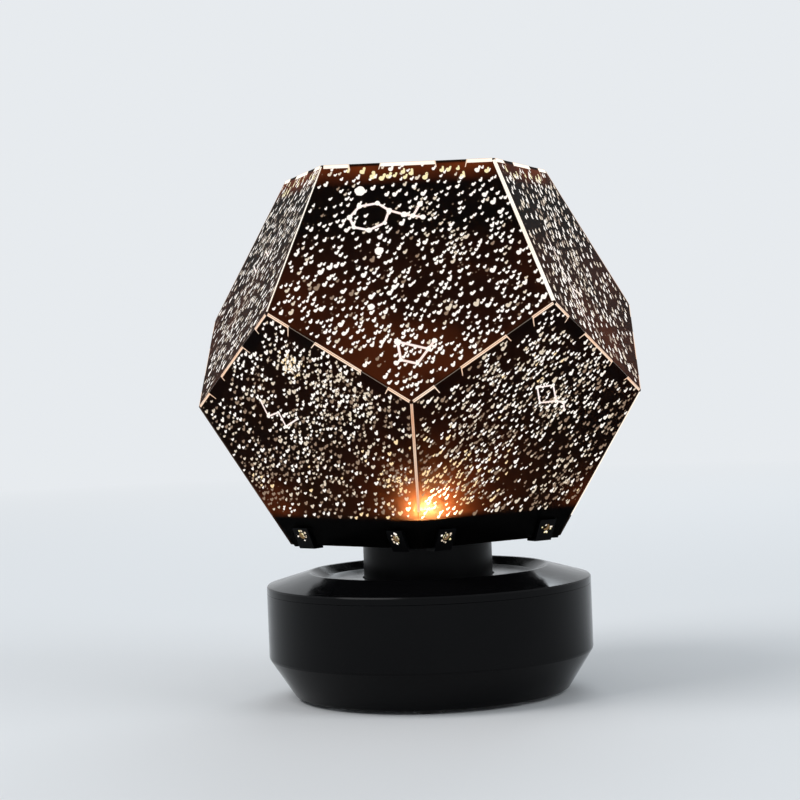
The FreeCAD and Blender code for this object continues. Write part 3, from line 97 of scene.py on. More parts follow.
class Face:
    """One panel of the shade: a plane with u to the right and v upwards, seen from outside."""

    def __init__(self, kind, azimuth=0):
        self.kind = kind
        if kind == "cap":
            self.normal = Vector((0, 0, 1))
            self.u = Vector((1, 0, 0))
        else:
            angle = math.radians(azimuth)
            out = Vector((math.cos(angle), math.sin(angle), 0))
            rise = math.sin(FACE_LEAN) * (1 if kind == "upper" else -1)
            self.normal = out * math.cos(FACE_LEAN) + Vector((0, 0, rise))
            self.u = Vector((-math.sin(angle), math.cos(angle), 0))
        self.v = self.normal.cross(self.u)
        self.centre = shade_centre + self.normal * FACE_DISTANCE * panel_edge
        self.corners = [
            self.at(*self.polar(PENTAGON_CORNER * panel_edge, FIRST_CORNERS[kind] + FIFTH * step))
            for step in range(5)
        ]

    @staticmethod
    def polar(radius, degrees):
        angle = math.radians(degrees)
        return radius * math.cos(angle), radius * math.sin(angle)

    def at(self, u, v, lift=0.0):
        return self.centre + self.u * u + self.v * v + self.normal * lift

    def flat(self, point):
        away = point - self.centre
        return away.dot(self.u), away.dot(self.v)

    def seen_at(self, x, y):
        """(u, v) of the point of this face that lies behind a pixel of the picture."""
        ray = camera_ahead * FOCAL_PIXELS
        ray = ray + camera_right * (x - IMAGE_SIZE / 2) + camera_up * (IMAGE_SIZE / 2 - y)
        reach = (self.centre - CAMERA_PLACE).dot(self.normal) / ray.dot(self.normal)
        return self.flat(CAMERA_PLACE + ray * reach)

    def edge_gap(self, u, v):
        """Distance from (u, v) to the nearest edge."""
        gaps = []
        for start, end in zip(self.corners, self.corners[1:] + self.corners[:1]):
            (su, sv), (eu, ev) = self.flat(start), self.flat(end)
            length = math.hypot(eu - su, ev - sv)
            gaps.append(((eu - su) * (v - sv) - (ev - sv) * (u - su)) / length)
        return min(gaps)


cap_face = Face("cap")
upper_faces = [Face("upper", FRONT_UPPER + FIFTH * step) for step in range(5)]
lower_faces = [Face("lower", FRONT_LOWER + FIFTH * step) for step in range(5)]
faces = [cap_face] + upper_faces + lower_faces
front_face, right_face, left_face = upper_faces[0], upper_faces[1], upper_faces[4]
front_right_face, front_left_face = lower_faces[0], lower_faces[4]


def shared_edges():
    """Every edge between two panels, as (start, end, face, face) with its higher end first."""
    found = []
    for index, one in enumerate(faces):
        for other in faces[index + 1:]:
            shared = [
                corner for corner in one.corners
                if min((corner - twin).length for twin in other.corners) < SAME_PLACE
            ]
            if len(shared) == 2:
                start, end = sorted(shared, key=lambda point: -point.z)
                found.append((start, end, one, other))
    return found


edges = shared_edges()


# Where the folds of the lower ring pass the lamp, and how strongly each shows its painted glow.
SIDE_FOLD = 0.07
GLOW_TURN = 5.5
GLOW_DROP = 1.5 * MM
fold_reach = (shade_centre.z - lamp_place.z) * math.tan(FACE_LEAN)
fold_radius = (FACE_DISTANCE / math.cos(FACE_LEAN) * panel_edge - fold_reach) / math.cos(HALF_FIFTH)
fold_spots = [
    (
        lamp_place + Vector((
            *Face.polar(fold_radius, GLOW_TURN + FRONT_UPPER + FIFTH * step), -GLOW_DROP,
        )),
        SIDE_FOLD if step else 1,
    )
    for step in range(5)
]


# ------------------------------------------------------------------ node helpers
NOISE_LOW, NOISE_HIGH = 0.3, 0.7
COLOUR_A, COLOUR_B, COLOUR_OUT = 6, 7, 2


def new_material(name):
    material = bpy.data.materials.new(name)
    material.use_nodes = True
    material.node_tree.nodes.clear()
    return material, material.node_tree.nodes, material.node_tree.links


def add_node(nodes, kind, **settings):
    node = nodes.new(kind)
    for key, value in settings.items():
        setattr(node, key, value)
    return node


def set_input(node, name, value):
    node.inputs[name].default_value = value


def principled(name):
    """A new material with one Principled shader."""
    material, nodes, links = new_material(name)
    out = add_node(nodes, "ShaderNodeOutputMaterial")
    shader = add_node(nodes, "ShaderNodeBsdfPrincipled")
    links.new(shader.outputs["BSDF"], out.inputs["Surface"])
    return material, nodes, links, shader


def object_place(nodes):
    return add_node(nodes, "ShaderNodeTexCoord").outputs["Object"]


def noise_texture(nodes, links, place, scale, detail, stretch=None):
    texture = add_node(nodes, "ShaderNodeTexNoise")
    set_input(texture, "Scale", scale)
    set_input(texture, "Detail", detail)
    if stretch is not None:
        mapping = add_node(nodes, "ShaderNodeMapping")
        set_input(mapping, "Scale", stretch)
        links.new(place, mapping.inputs["Vector"])
        place = mapping.outputs["Vector"]
    links.new(place, texture.inputs["Vector"])
    return texture.outputs["Fac"]


def map_range(nodes, links, value, low, high, from_low=NOISE_LOW, from_high=NOISE_HIGH):
    ranger = add_node(nodes, "ShaderNodeMapRange")
    set_input(ranger, "From Min", from_low)
    set_input(ranger, "From Max", from_high)
    set_input(ranger, "To Min", low)
    set_input(ranger, "To Max", high)
    links.new(value, ranger.inputs["Value"])
    return ranger.outputs["Result"]


def calculate(nodes, links, operation, *values):
    """A Math node on sockets and plain numbers."""
    node = add_node(nodes, "ShaderNodeMath", operation=operation)
    for socket, value in zip(node.inputs, values):
        if isinstance(value, bpy.types.NodeSocket):
            links.new(value, socket)
        else:
            socket.default_value = value
    return node.outputs[0]


def multiply(nodes, links, *values):
    product = values[0]
    for value in values[1:]:
        product = calculate(nodes, links, "MULTIPLY", product, value)
    return product


def mix_colours(nodes, links, share, dark, light):
    mixer = add_node(nodes, "ShaderNodeMix", data_type="RGBA")
    for number, colour in ((COLOUR_A, dark), (COLOUR_B, light)):
        if isinstance(colour, bpy.types.NodeSocket):
            links.new(colour, mixer.inputs[number])
        else:
            mixer.inputs[number].default_value = (*colour, 1)
    links.new(share, mixer.inputs["Factor"])
    return mixer.outputs[COLOUR_OUT]


SMUDGE_SCALE = 2.3
LEAST_ROUGH = 0.02
TONE_DETAIL, SMUDGE_DETAIL, GRAIN_DETAIL, WAVE_DETAIL = 5, 6, 2, 1


def surface(
    name, dark, light, rough, *, tone_scale=60, grain_scale=900, grain=0.05, grain_depth=0.02,
    wave=0.0, wave_scale=30, metallic=0.0, specular=0.5, stretch=None, spread=0.06,
):
    """Mottled colour, uneven roughness and two sizes of relief on one Principled shader."""
    material, nodes, links, shader = principled(name)
    place = object_place(nodes)
    tone = noise_texture(nodes, links, place, tone_scale, TONE_DETAIL, stretch)
    links.new(mix_colours(nodes, links, tone, dark, light), shader.inputs["Base Color"])
    smudge = noise_texture(
        nodes, links, place, tone_scale * SMUDGE_SCALE, SMUDGE_DETAIL, stretch,
    )
    links.new(
        map_range(nodes, links, smudge, max(rough - spread, LEAST_ROUGH), rough + spread),
        shader.inputs["Roughness"],
    )
    set_input(shader, "Metallic", metallic)
    set_input(shader, "Specular IOR Level", specular)
    fine = noise_texture(nodes, links, place, grain_scale, GRAIN_DETAIL, stretch)
    bump = add_node(nodes, "ShaderNodeBump")
    set_input(bump, "Strength", grain)
    set_input(bump, "Distance", grain_depth * MM)
    links.new(fine, bump.inputs["Height"])
    links.new(bump.outputs["Normal"], shader.inputs["Normal"])
    if wave:
        broad = add_node(nodes, "ShaderNodeBump")
        set_input(broad, "Strength", 1.0)
        set_input(broad, "Distance", wave * MM)
        rise = noise_texture(nodes, links, place, wave_scale, WAVE_DETAIL)
        links.new(rise, broad.inputs["Height"])
        links.new(broad.outputs["Normal"], bump.inputs["Normal"])
    return material


MARK_BODY, MARK_ROUGH = (0.02, 0.015, 0.01), 0.35
WANDER = (70, 4)


def glowing(name, colour, strength, warm=None):
    """A clear mark with the lamp behind it; long lines wander towards a warmer colour."""
    material, nodes, links, shader = principled(name)
    set_input(shader, "Base Color", (*MARK_BODY, 1))
    set_input(shader, "Roughness", MARK_ROUGH)
    if warm is None:
        set_input(shader, "Emission Color", (*colour, 1))
    else:
        noise = noise_texture(nodes, links, object_place(nodes), *WANDER)
        wander = map_range(nodes, links, noise, 0.0, 1.0)
        links.new(mix_colours(nodes, links, wander, colour, warm), shader.inputs["Emission Color"])
    set_input(shader, "Emission Strength", strength)
    return material


def dress(node, material):
    """Give a CAD node its material."""
    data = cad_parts[node].data
    data.materials.clear()
    data.materials.append(material)


# ------------------------------------------------------------------ materials
FILM_DARK, FILM_LIGHT = (0.016, 0.0062, 0.0028), (0.024, 0.0096, 0.0044)
FILM_ALPHA, FILM_IOR = 0.965, 1.08
FILM_SPECULAR, FILM_COAT, FILM_COAT_ROUGH, FILM_COAT_IOR = 0.12, 0.04, 0.14, 1.4
FILM_ROUGH = (0.76, 0.86)
FILM_TONE, FILM_SMUDGE, FILM_WAVE, PATCHES, WISPS = (45, 5), (120, 6), (38, 2), (34, 3), (110, 4)
WAVE_STRENGTH, WAVE_DEPTH = 0.5, 0.05 * MM
GLOW_COLOUR = (1.0, 0.19, 0.035)

# Painted lamp glow, brown: it rises and falls with height, lies in patches, is weaker on the lower
# ring.
PAINTED_GLOW, LEAST_PAINTED_GLOW, LOWER_PAINTED_GLOW = 0.044, 0.2, 0.10
PAINTED_GLOW_RISE = (shade_centre.z - 26 * MM, shade_centre.z - 12 * MM)
PAINTED_GLOW_FALL = (shade_centre.z + 6 * MM, shade_centre.z + 44 * MM)
PAINTED_GLOW_PATCHES = (0.25, 1.0, 0.42, 0.62)
RING_TURNS = (-0.2, 0.2)

# The painted haze round the lamp: strengths and spreads, and how wisps vary them. None in the tray.
PAINTED_HAZES = ((0.9, 10.5 * MM), (0.07, 25 * MM))
WISP_RANGE = (0.35, 1.4)
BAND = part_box("shade_tray")[1].z - shade_low
BAND_EDGE = BAND * 0.2

# The strip of painted glow below the cap's tabs.
STRIP_GLOW = 0.12
STRIP_HEIGHT, STRIP_SOLID = 8 * MM, 0.3
STRIP_PATCHES = (0.3, 1.0, 0.42, 0.60)
CAP_DEPTH = 0.6 * MM


def painted_haze(nodes, links, place):
    """Painted soft spots of light where the folds of the lower ring pass the lamp."""
    haze = 0.0
    for spot, weight in fold_spots:
        away = add_node(nodes, "ShaderNodeVectorMath", operation="DISTANCE")
        links.new(place, away.inputs[0])
        away.inputs[1].default_value = spot
        squared = multiply(nodes, links, away.outputs["Value"], away.outputs["Value"])
        for strength, spread in PAINTED_HAZES:
            fall = multiply(nodes, links, squared, -1 / spread ** 2)
            fade = calculate(nodes, links, "EXPONENT", fall)
            haze = calculate(nodes, links, "MULTIPLY_ADD", fade, strength * weight, haze)
    return haze


def film_glow(nodes, links, place):
    """Painted lamp light on the film, as emission strength: brown glow, haze and top strip."""
    split = add_node(nodes, "ShaderNodeSeparateXYZ")
    links.new(place, split.inputs["Vector"])
    height = split.outputs["Z"]
    facing = add_node(nodes, "ShaderNodeSeparateXYZ")
    links.new(add_node(nodes, "ShaderNodeTexCoord").outputs["Normal"], facing.inputs["Vector"])
    patches = noise_texture(nodes, links, place, *PATCHES)
    band_top = shade_low + BAND
    clear = map_range(nodes, links, height, 0.0, 1.0, band_top, band_top + BAND_EDGE)
    # Painted brown glow of the lamp's light: faded with height, in patches, weaker on the lower
    # ring.
    painted_glow = multiply(
        nodes, links,
        map_range(nodes, links, height, PAINTED_GLOW * LEAST_PAINTED_GLOW, PAINTED_GLOW, *PAINTED_GLOW_RISE),
        map_range(nodes, links, height, 1.0, 0.0, *PAINTED_GLOW_FALL),
        map_range(nodes, links, patches, *PAINTED_GLOW_PATCHES),
        map_range(nodes, links, facing.outputs["Z"], LOWER_PAINTED_GLOW, 1.0, *RING_TURNS),
        clear,
    )
    wisps = map_range(nodes, links, noise_texture(nodes, links, place, *WISPS), *WISP_RANGE)
    # Painted haze of lamp light, broken up by wisps, none in the tray.
    haze = multiply(nodes, links, painted_haze(nodes, links, place), clear, wisps)
    strip = multiply(
        nodes, links,
        map_range(
            nodes, links, height, 0.0, STRIP_GLOW,
            shade_high - STRIP_HEIGHT, shade_high - STRIP_HEIGHT * STRIP_SOLID,
        ),
        map_range(
            nodes, links, height, 1.0, 0.0, shade_high - CAP_DEPTH * 2, shade_high - CAP_DEPTH
        ),
        map_range(nodes, links, patches, *STRIP_PATCHES),
    )
    lit = calculate(nodes, links, "ADD", painted_glow, haze)
    return calculate(nodes, links, "ADD", lit, strip)


def film_material():
    """Black photographic film: dark brown, faintly hazy, so the lamp behind it glows through; that
    glow is partly painted on as emission.
    """
    material, nodes, links, shader = principled("star_film")
    place = object_place(nodes)
    tone = noise_texture(nodes, links, place, *FILM_TONE)
    colour = mix_colours(nodes, links, tone, FILM_DARK, FILM_LIGHT)
    links.new(colour, shader.inputs["Base Color"])
    smudge = noise_texture(nodes, links, place, *FILM_SMUDGE)
    links.new(map_range(nodes, links, smudge, *FILM_ROUGH), shader.inputs["Roughness"])
    set_input(shader, "Transmission Weight", 1.0)
    set_input(shader, "IOR", FILM_IOR)
    set_input(shader, "Specular IOR Level", FILM_SPECULAR)
    set_input(shader, "Coat Weight", FILM_COAT)
    set_input(shader, "Coat Roughness", FILM_COAT_ROUGH)
    set_input(shader, "Coat IOR", FILM_COAT_IOR)
    set_input(shader, "Alpha", FILM_ALPHA)
    # The painted lamp glow drives the film's emission.
    links.new(film_glow(nodes, links, place), shader.inputs["Emission Strength"])
    set_input(shader, "Emission Color", (*GLOW_COLOUR, 1))
    bump = add_node(nodes, "ShaderNodeBump")
    set_input(bump, "Strength", WAVE_STRENGTH)
    set_input(bump, "Distance", WAVE_DEPTH)
    links.new(noise_texture(nodes, links, place, *FILM_WAVE), bump.inputs["Height"])
    links.new(bump.outputs["Normal"], shader.inputs["Coat Normal"])
    return material


LAMP_COLOUR = (1.0, 0.66, 0.30)
LENS_STRENGTH, EMITTER_STRENGTH = 360, 1900


def lamp_material(name, strength):
    """The lit lamp: so bright that only its warm colour shows."""
    material, nodes, links = new_material(name)
    out = add_node(nodes, "ShaderNodeOutputMaterial")
    shader = add_node(nodes, "ShaderNodeEmission")
    set_input(shader, "Color", (*LAMP_COLOUR, 1))
    set_input(shader, "Strength", strength)
    links.new(shader.outputs["Emission"], out.inputs["Surface"])
    return material


PITCH_SHARE = 0.336
COPPER_START = 13 * MM
CELL_GRAIN, CELL_ROUGH = (300, 4), (0.22, 0.38)
JACKET_DARK, JACKET_LIGHT = (0.010, 0.011, 0.013), (0.022, 0.023, 0.026)
COPPER_DARK, COPPER_LIGHT = (0.42, 0.20, 0.08), (0.55, 0.27, 0.12)
cells_low, cells_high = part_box("battery_cells")
cell_pitch = (cells_high.y - cells_low.y) * PITCH_SHARE


def cell_material():
    """Battery jackets: dark body and copper band, the middle cell turned the other way."""
    material, nodes, links, shader = principled("cell_jacket")
    place = object_place(nodes)
    split = add_node(nodes, "ShaderNodeSeparateXYZ")
    links.new(place, split.inputs["Vector"])
    off_middle = calculate(nodes, links, "ABSOLUTE", split.outputs["Y"])
    turned_cell = calculate(nodes, links, "LESS_THAN", off_middle, cell_pitch / 2)
    sign = map_range(nodes, links, turned_cell, 1.0, -1.0, 0.0, 1.0)
    along = multiply(nodes, links, split.outputs["X"], sign)
    dark_end = calculate(nodes, links, "LESS_THAN", along, COPPER_START)
    grain = noise_texture(nodes, links, place, *CELL_GRAIN)
    body = mix_colours(nodes, links, grain, JACKET_DARK, JACKET_LIGHT)
    copper = mix_colours(nodes, links, grain, COPPER_DARK, COPPER_LIGHT)
    jacket = mix_colours(nodes, links, dark_end, copper, body)
    links.new(jacket, shader.inputs["Base Color"])
    links.new(map_range(nodes, links, grain, *CELL_ROUGH), shader.inputs["Roughness"])
    links.new(map_range(nodes, links, dark_end, 1.0, 0.0, 0.0, 1.0), shader.inputs["Metallic"])
    return material


BOARD_TURN = (math.pi / 2, 0, 0)
TRACK_STEP, TRACK_SQUASH = 0.37, 0.6
TRACKS = {
    "Scale": 260, "Mortar Size": 0.06, "Mortar": (0.030, 0.170, 0.070, 1),
    "Color1": (0.010, 0.075, 0.030, 1), "Color2": (0.012, 0.088, 0.036, 1),
}
BOARD_GRAIN, BOARD_ROUGH = (500, 3), (0.28, 0.42)


def board_material():
    """Green circuit board with paler tracks under the solder mask."""
    material, nodes, links, shader = principled("circuit_board")
    place = object_place(nodes)
    tracks = add_node(
        nodes, "ShaderNodeTexBrick", offset=TRACK_STEP, squash=TRACK_SQUASH,
    )
    mapping = add_node(nodes, "ShaderNodeMapping")
    set_input(mapping, "Rotation", BOARD_TURN)
    links.new(place, mapping.inputs["Vector"])
    links.new(mapping.outputs["Vector"], tracks.inputs["Vector"])
    for name, value in TRACKS.items():
        set_input(tracks, name, value)
    links.new(tracks.outputs["Color"], shader.inputs["Base Color"])
    grain = noise_texture(nodes, links, place, *BOARD_GRAIN)
    links.new(map_range(nodes, links, grain, *BOARD_ROUGH), shader.inputs["Roughness"])
    return material


film = film_material()
for node in ("shade_cap", "shade_upper_ring", "shade_lower_ring"):
    dress(node, film)
dress("shade_tray", surface(
    "tray_plastic", (0.0014, 0.0014, 0.0017), (0.0028, 0.0028, 0.0032), 0.36,
    grain=0.25, grain_depth=0.03, grain_scale=1500, specular=0.05,
))
dress("hub", surface(
    "hub_plastic", (0.0018, 0.0018, 0.0022), (0.0034, 0.0034, 0.0038), 0.34,
    grain=0.2, grain_depth=0.02, grain_scale=1300, specular=0.09,
))
housing = surface(
    "housing_plastic", (0.0020, 0.0020, 0.0025), (0.0036, 0.0036, 0.004), 0.15,
    grain=0.06, grain_depth=0.01, wave=0.02, wave_scale=55, specular=0.09,
    spread=0.05,
)
dress("base_shell", housing)
dress("top_cover", housing)
dress("battery_door", surface(
    "door_plastic", (0.006, 0.006, 0.007), (0.011, 0.011, 0.012), 0.36,
    grain=0.35, grain_depth=0.03, grain_scale=1400, specular=0.4,
))
button_plastic = surface(
    "button_plastic", (0.008, 0.008, 0.009), (0.014, 0.014, 0.015), 0.34,
    grain=0.3, grain_depth=0.02, grain_scale=1600, specular=0.4,
)
dress("lamp_button", button_plastic)
dress("spin_button", button_plastic)
dress("rubber_feet", surface(
    "foot_rubber", (0.012, 0.012, 0.012), (0.022, 0.021, 0.020), 0.78,
    grain=0.6, grain_depth=0.05, grain_scale=700, specular=0.25,
))
gear_plastic = surface(
    "gear_plastic", (0.72, 0.71, 0.66), (0.80, 0.79, 0.74), 0.38,
    grain=0.1, grain_depth=0.02, tone_scale=90,
)
dress("turntable_gear", gear_plastic)
dress("drive_pinion", gear_plastic)
dress("gear_deck", surface(
    "deck_plastic", (0.10, 0.10, 0.11), (0.15, 0.15, 0.16), 0.45,
    grain=0.2, grain_depth=0.03, grain_scale=1100,
))
dress("gear_motor", surface(
    "motor_can", (0.42, 0.42, 0.43), (0.58, 0.58, 0.59), 0.26, metallic=1.0,
    grain=0.1, stretch=(1, 1, 14), grain_scale=400,
))
steel = surface(
    "steel", (0.48, 0.48, 0.50), (0.66, 0.66, 0.67), 0.24, metallic=1.0,
    tone_scale=300, grain=0.1, grain_depth=0.01,
)
for node in (
    "motor_shaft", "gear_screws", "tray_screws", "motor_screws", "post_screws", "deck_screws",
    "lamp_screws", "housing_screws",
):
    dress(node, steel)
dress("lamp_post", surface(
    "post_metal", (0.50, 0.51, 0.52), (0.62, 0.63, 0.64), 0.32, metallic=1.0,
    tone_scale=140, grain=0.15, stretch=(1, 1, 10),
))
dress("thrust_washer", surface(
    "washer_brass", (0.62, 0.42, 0.16), (0.76, 0.55, 0.24), 0.30, metallic=1.0, grain=0.1,
))
dress("led_heatsink", surface(
    "sink_metal", (0.40, 0.41, 0.42), (0.54, 0.55, 0.56), 0.36, metallic=1.0, grain=0.12,
    stretch=(1, 1, 8),
))
dress("led_board", surface(
    "lamp_board_face", (0.70, 0.70, 0.67), (0.80, 0.80, 0.77), 0.40, grain=0.08,
))
dress("led_emitter", lamp_material("emitter_body", EMITTER_STRENGTH))
dress("led_lens", lamp_material("lens_clear", LENS_STRENGTH))
dress("control_board", board_material())
switch_case = surface(
    "switch_case", (0.014, 0.014, 0.016), (0.026, 0.026, 0.028), 0.42, grain=0.2,
)
dress("lamp_switch", switch_case)
dress("spin_switch", switch_case)
dress("battery_cells", cell_material())
contact_nickel = surface(
    "contact_nickel", (0.58, 0.57, 0.53), (0.74, 0.73, 0.69), 0.22, metallic=1.0,
    tone_scale=260, grain=0.08,
)
dress("contact_plates", contact_nickel)
dress("battery_springs", contact_nickel)


# ------------------------------------------------------------------ marks on the film
LIFT = 0.03 * MM
LIFT_STEPS, LIFT_STEP = 8, 0.05
LINE_LIFT, JOINT_RISE = 0.045 * MM, 1.1
JOINT_LIFT = LINE_LIFT * JOINT_RISE
JOINT_SIDES = 8
UNEVEN = (0.9, 1.1)
TAB_DEPTH = 4.2 * MM
TAB_TAPER = 1.0 * MM
TAB_SHARE, TAB_PLACE = 0.18, 0.25
TAB_MARGIN, TAB_SLACK = 0.6 * MM, 0.01


class Marks:
    """Flat shapes laid on the film, gathered into one mesh for each glow."""

    def __init__(self, name, material):
        self.name = name
        self.material = material
        self.points = []
        self.shapes = []

    def add(self, points):
        start = len(self.points)
        self.points += [tuple(point) for point in points]
        self.shapes.append(tuple(range(start, start + len(points))))

    def build(self):
        mesh = bpy.data.meshes.new(self.name)
        mesh.from_pydata(self.points, [], self.shapes)
        mesh.materials.append(self.material)
        mesh.update()
        piece = bpy.data.objects.new(self.name, mesh)
        bpy.context.scene.collection.objects.link(piece)
        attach(piece, "turntable")


marks = {
    name: Marks(f"marks_{name}", glowing(f"glow_{name}", *look))
    for name, *look in (
        ("white", (1.00, 0.93, 0.85), 1.04),
        ("cream", (1.00, 0.84, 0.64), 0.74),
        ("faint", (0.90, 0.58, 0.36), 0.30),
        ("amber", (1.00, 0.74, 0.40), 1.00),
        ("hot", (1.00, 0.84, 0.55), 2.60),
        ("gold", (1.00, 0.88, 0.48), 0.95),
        ("leak", (1.00, 0.60, 0.26), 0.16),
        ("figure", (1.00, 0.88, 0.86), 1.05, (1.00, 0.78, 0.70)),
        ("bright_seam", (1.00, 0.95, 0.86), 1.15, (1.00, 0.84, 0.66)),
        ("seam", (1.00, 0.84, 0.68), 0.96, (1.00, 0.60, 0.36)),
        ("fold", (1.00, 0.76, 0.58), 0.80, (0.90, 0.46, 0.26)),
        ("hair", (0.80, 0.66, 0.52), 0.28),
    )
}
chance = random.Random(20)


def turned(x, y, angle):
    return x * math.cos(angle) - y * math.sin(angle), x * math.sin(angle) + y * math.cos(angle)


def add_disc(kind, face, u, v, radius, sides, lift):
    """A round spot with a slightly uneven outline."""
    turn = chance.uniform(0, 360)
    ring = []
    for step in range(sides):
        du, dv = Face.polar(radius * chance.uniform(*UNEVEN), turn + 360 / sides * step)
        ring.append(face.at(u + du, v + dv, lift))
    marks[kind].add(ring)


# A mark's outline in shares of its size: the degrees round its two lobes, and the notch between.
BIG_LOBE, BIG_RADII, BIG_SHAPE = (66, 108, 154, 206, 258, 312), (0.44, 0.54), (0.94, 1.06)
SMALL_LOBE, SMALL_RADII = (-95, -25, 40, 110), (0.22, 0.32)
SMALL_AWAY, SMALL_UP = (0.78, 0.94), 0.12
NOTCH = (0.46, 0.17)
STAR_TURN = 14


def add_star(kind, face, u, v, size, tail_angle):
    """A bright spot that runs into a smaller second lobe, like a comma."""
    lift = LIFT * (1 + LIFT_STEP * (len(marks[kind].shapes) % LIFT_STEPS))
    turn = math.radians(tail_angle + chance.uniform(-STAR_TURN, STAR_TURN))
    lobe = chance.uniform(*SMALL_RADII)
    reach = chance.uniform(*SMALL_AWAY)
    outline = []
    for degrees in BIG_LOBE:
        x, y = Face.polar(chance.uniform(*BIG_RADII), degrees)
        outline.append((x * BIG_SHAPE[0], y * BIG_SHAPE[1]))
    for degrees in SMALL_LOBE:
        x, y = Face.polar(lobe, degrees)
        outline.append((x + reach, y + SMALL_UP))
    outline.append(NOTCH)
    places = [turned(x, y, turn) for x, y in outline]
    marks[kind].add([face.at(u + size * x, v + size * y, lift) for x, y in places])


def add_stroke(kind, face, points, width):
    """A line of even width through (u, v) points, with round joints."""
    for (u0, v0), (u1, v1) in zip(points, points[1:]):
        length = math.hypot(u1 - u0, v1 - v0)
        su, sv = -(v1 - v0) / length * width / 2, (u1 - u0) / length * width / 2
        marks[kind].add([
            face.at(u0 + su, v0 + sv, LINE_LIFT), face.at(u0 - su, v0 - sv, LINE_LIFT),
            face.at(u1 - su, v1 - sv, LINE_LIFT), face.at(u1 + su, v1 + sv, LINE_LIFT),
        ])
    for u, v in points:
        add_disc(kind, face, u, v, width / 2, JOINT_SIDES, JOINT_LIFT)


def tab_zones(face):
    """The edges of this face behind which the ring above has its locking tabs."""
    return [
        (start, end) for start, end, one, other in edges if other is face and one.kind != other.kind
    ]


def edge_frame(face, start, end):
    """Unit vectors along an edge and from it into the face."""
    along = (end - start).normalized()
    inward = face.centre - (start + end) / 2
    return along, (inward - along * inward.dot(along)).normalized()


def clear_of_tabs(face, zones, point):
    for start, end in zones:
        along, inward = edge_frame(face, start, end)
        away = point - start
        depth = away.dot(inward)
        slide = away.dot(along) / panel_edge - 0.5
        beside = abs(abs(slide) - TAB_PLACE)
        if depth < TAB_DEPTH + TAB_MARGIN and beside < TAB_SHARE / 2 + TAB_SLACK:
            return False
    return True


AMBER_SHARE, AMBER_SPREAD = 1.2, 19 * MM
HOT_SHARE = 0.82
# Shares of the marks that are white, and of those that are white or cream.
FRONT_KINDS, UPPER_KINDS = (0.88, 0.96), (0.60, 0.86)
# On the other faces the white share falls to the sides and rises upwards, in panel edges.
WHITE, WHITE_FALL, WHITE_RISE, CREAM = 0.48, 0.30, 0.46, 0.26


def star_kind(face, point):
    """Marks near the lamp's glow turn amber, the others run from white to faint."""
    share = sum(
        AMBER_SHARE * weight * math.exp(-((point - spot).length / AMBER_SPREAD) ** 2)
        for spot, weight in fold_spots
    )
    if chance.random() < share:
        return "hot" if share > HOT_SHARE else "amber"
    if face.kind == "upper":
        white, cream = FRONT_KINDS if face is front_face else UPPER_KINDS
    else:
        across, up = face.flat(point)
        white = WHITE - WHITE_FALL * abs(across) / panel_edge + WHITE_RISE * up / panel_edge
        cream = white + CREAM
    draw = chance.random()
    return "white" if draw < white else "cream" if draw < cream else "faint"


CELL = 2 * MM
NEAREST = 0.62


class Spacing:
    """Keeps the single marks of a face from running into each other."""

    def __init__(self):
        self.cells = {}

    def free(self, u, v, size):
        cell_u, cell_v = int(u // CELL), int(v // CELL)
        for near_u in (cell_u - 1, cell_u, cell_u + 1):
            for near_v in (cell_v - 1, cell_v, cell_v + 1):
                for other_u, other_v, other in self.cells.get((near_u, near_v), ()):
                    if math.hypot(u - other_u, v - other_v) < (size + other) * NEAREST:
                        return False
        self.cells.setdefault((cell_u, cell_v), []).append((u, v, size))
        return True


TAIL_SLANT, TAIL_WANDER = 42, 8
TAIL_ANGLES = {"upper": 48, "lower": 42, "cap": 60}
SHOWN = 0.5


def tail_angle_on(face):
    """The marks' tails point up and right in the picture, on the panels that it shows."""
    if (CAMERA_PLACE - face.centre).normalized().dot(face.normal) < SHOWN:
        return TAIL_ANGLES[face.kind] + chance.uniform(-TAIL_WANDER, TAIL_WANDER)
    u_right, u_up = face.u.dot(camera_right), face.u.dot(camera_up)
    v_right, v_up = face.v.dot(camera_right), face.v.dot(camera_up)
    x, y = Face.polar(1, TAIL_SLANT)
    return math.degrees(math.atan2(u_right * y - u_up * x, x * v_up - y * v_right))


# How the marks fill a face: their number, least and most size in mm, number of clusters, share of
# the draws that spread evenly, share that stays out of clusters, and for faces whose marks thin
# out, the share kept at the middle and its change from there to the top.
Sky = namedtuple("Sky", "count sizes clusters even single thinning")
SKIES = {
    "cap": Sky(700, (1.05, 2.0), 5, 0.80, 0.95, None),
    "upper": Sky(620, (1.25, 2.3), 2, 0.80, 0.985, None),
    "lower": Sky(1160, (0.82, 1.6), 5, 0.80, 0.95, (0.80, 0.35)),
    "front": Sky(880, (0.90, 1.9), 2, 0.985, 0.985, (0.75, -0.35)),
}
STAR_REACH = 1.28
SIZE_RATE = 4.0
DUST_SHARE, DUST_SIZES = 0.12, (0.28, 0.5)
CLUSTER_ACROSS, CLUSTER_UP = (-0.6, 0.6), (-0.5, 0.6)
CLUSTER_SPREADS, CLUSTER_SIZES = (2.5, 5.0), (0.45, 0.95)
BAND_ANGLES, BAND_PLACES, BAND_SPREAD = (0.2, 1.2), (-0.2, 0.3), 6 * MM
EDGE_MARGIN, TRAY_MARGIN = 1.0 * MM, 0.5 * MM
MOST_TRIES = 40


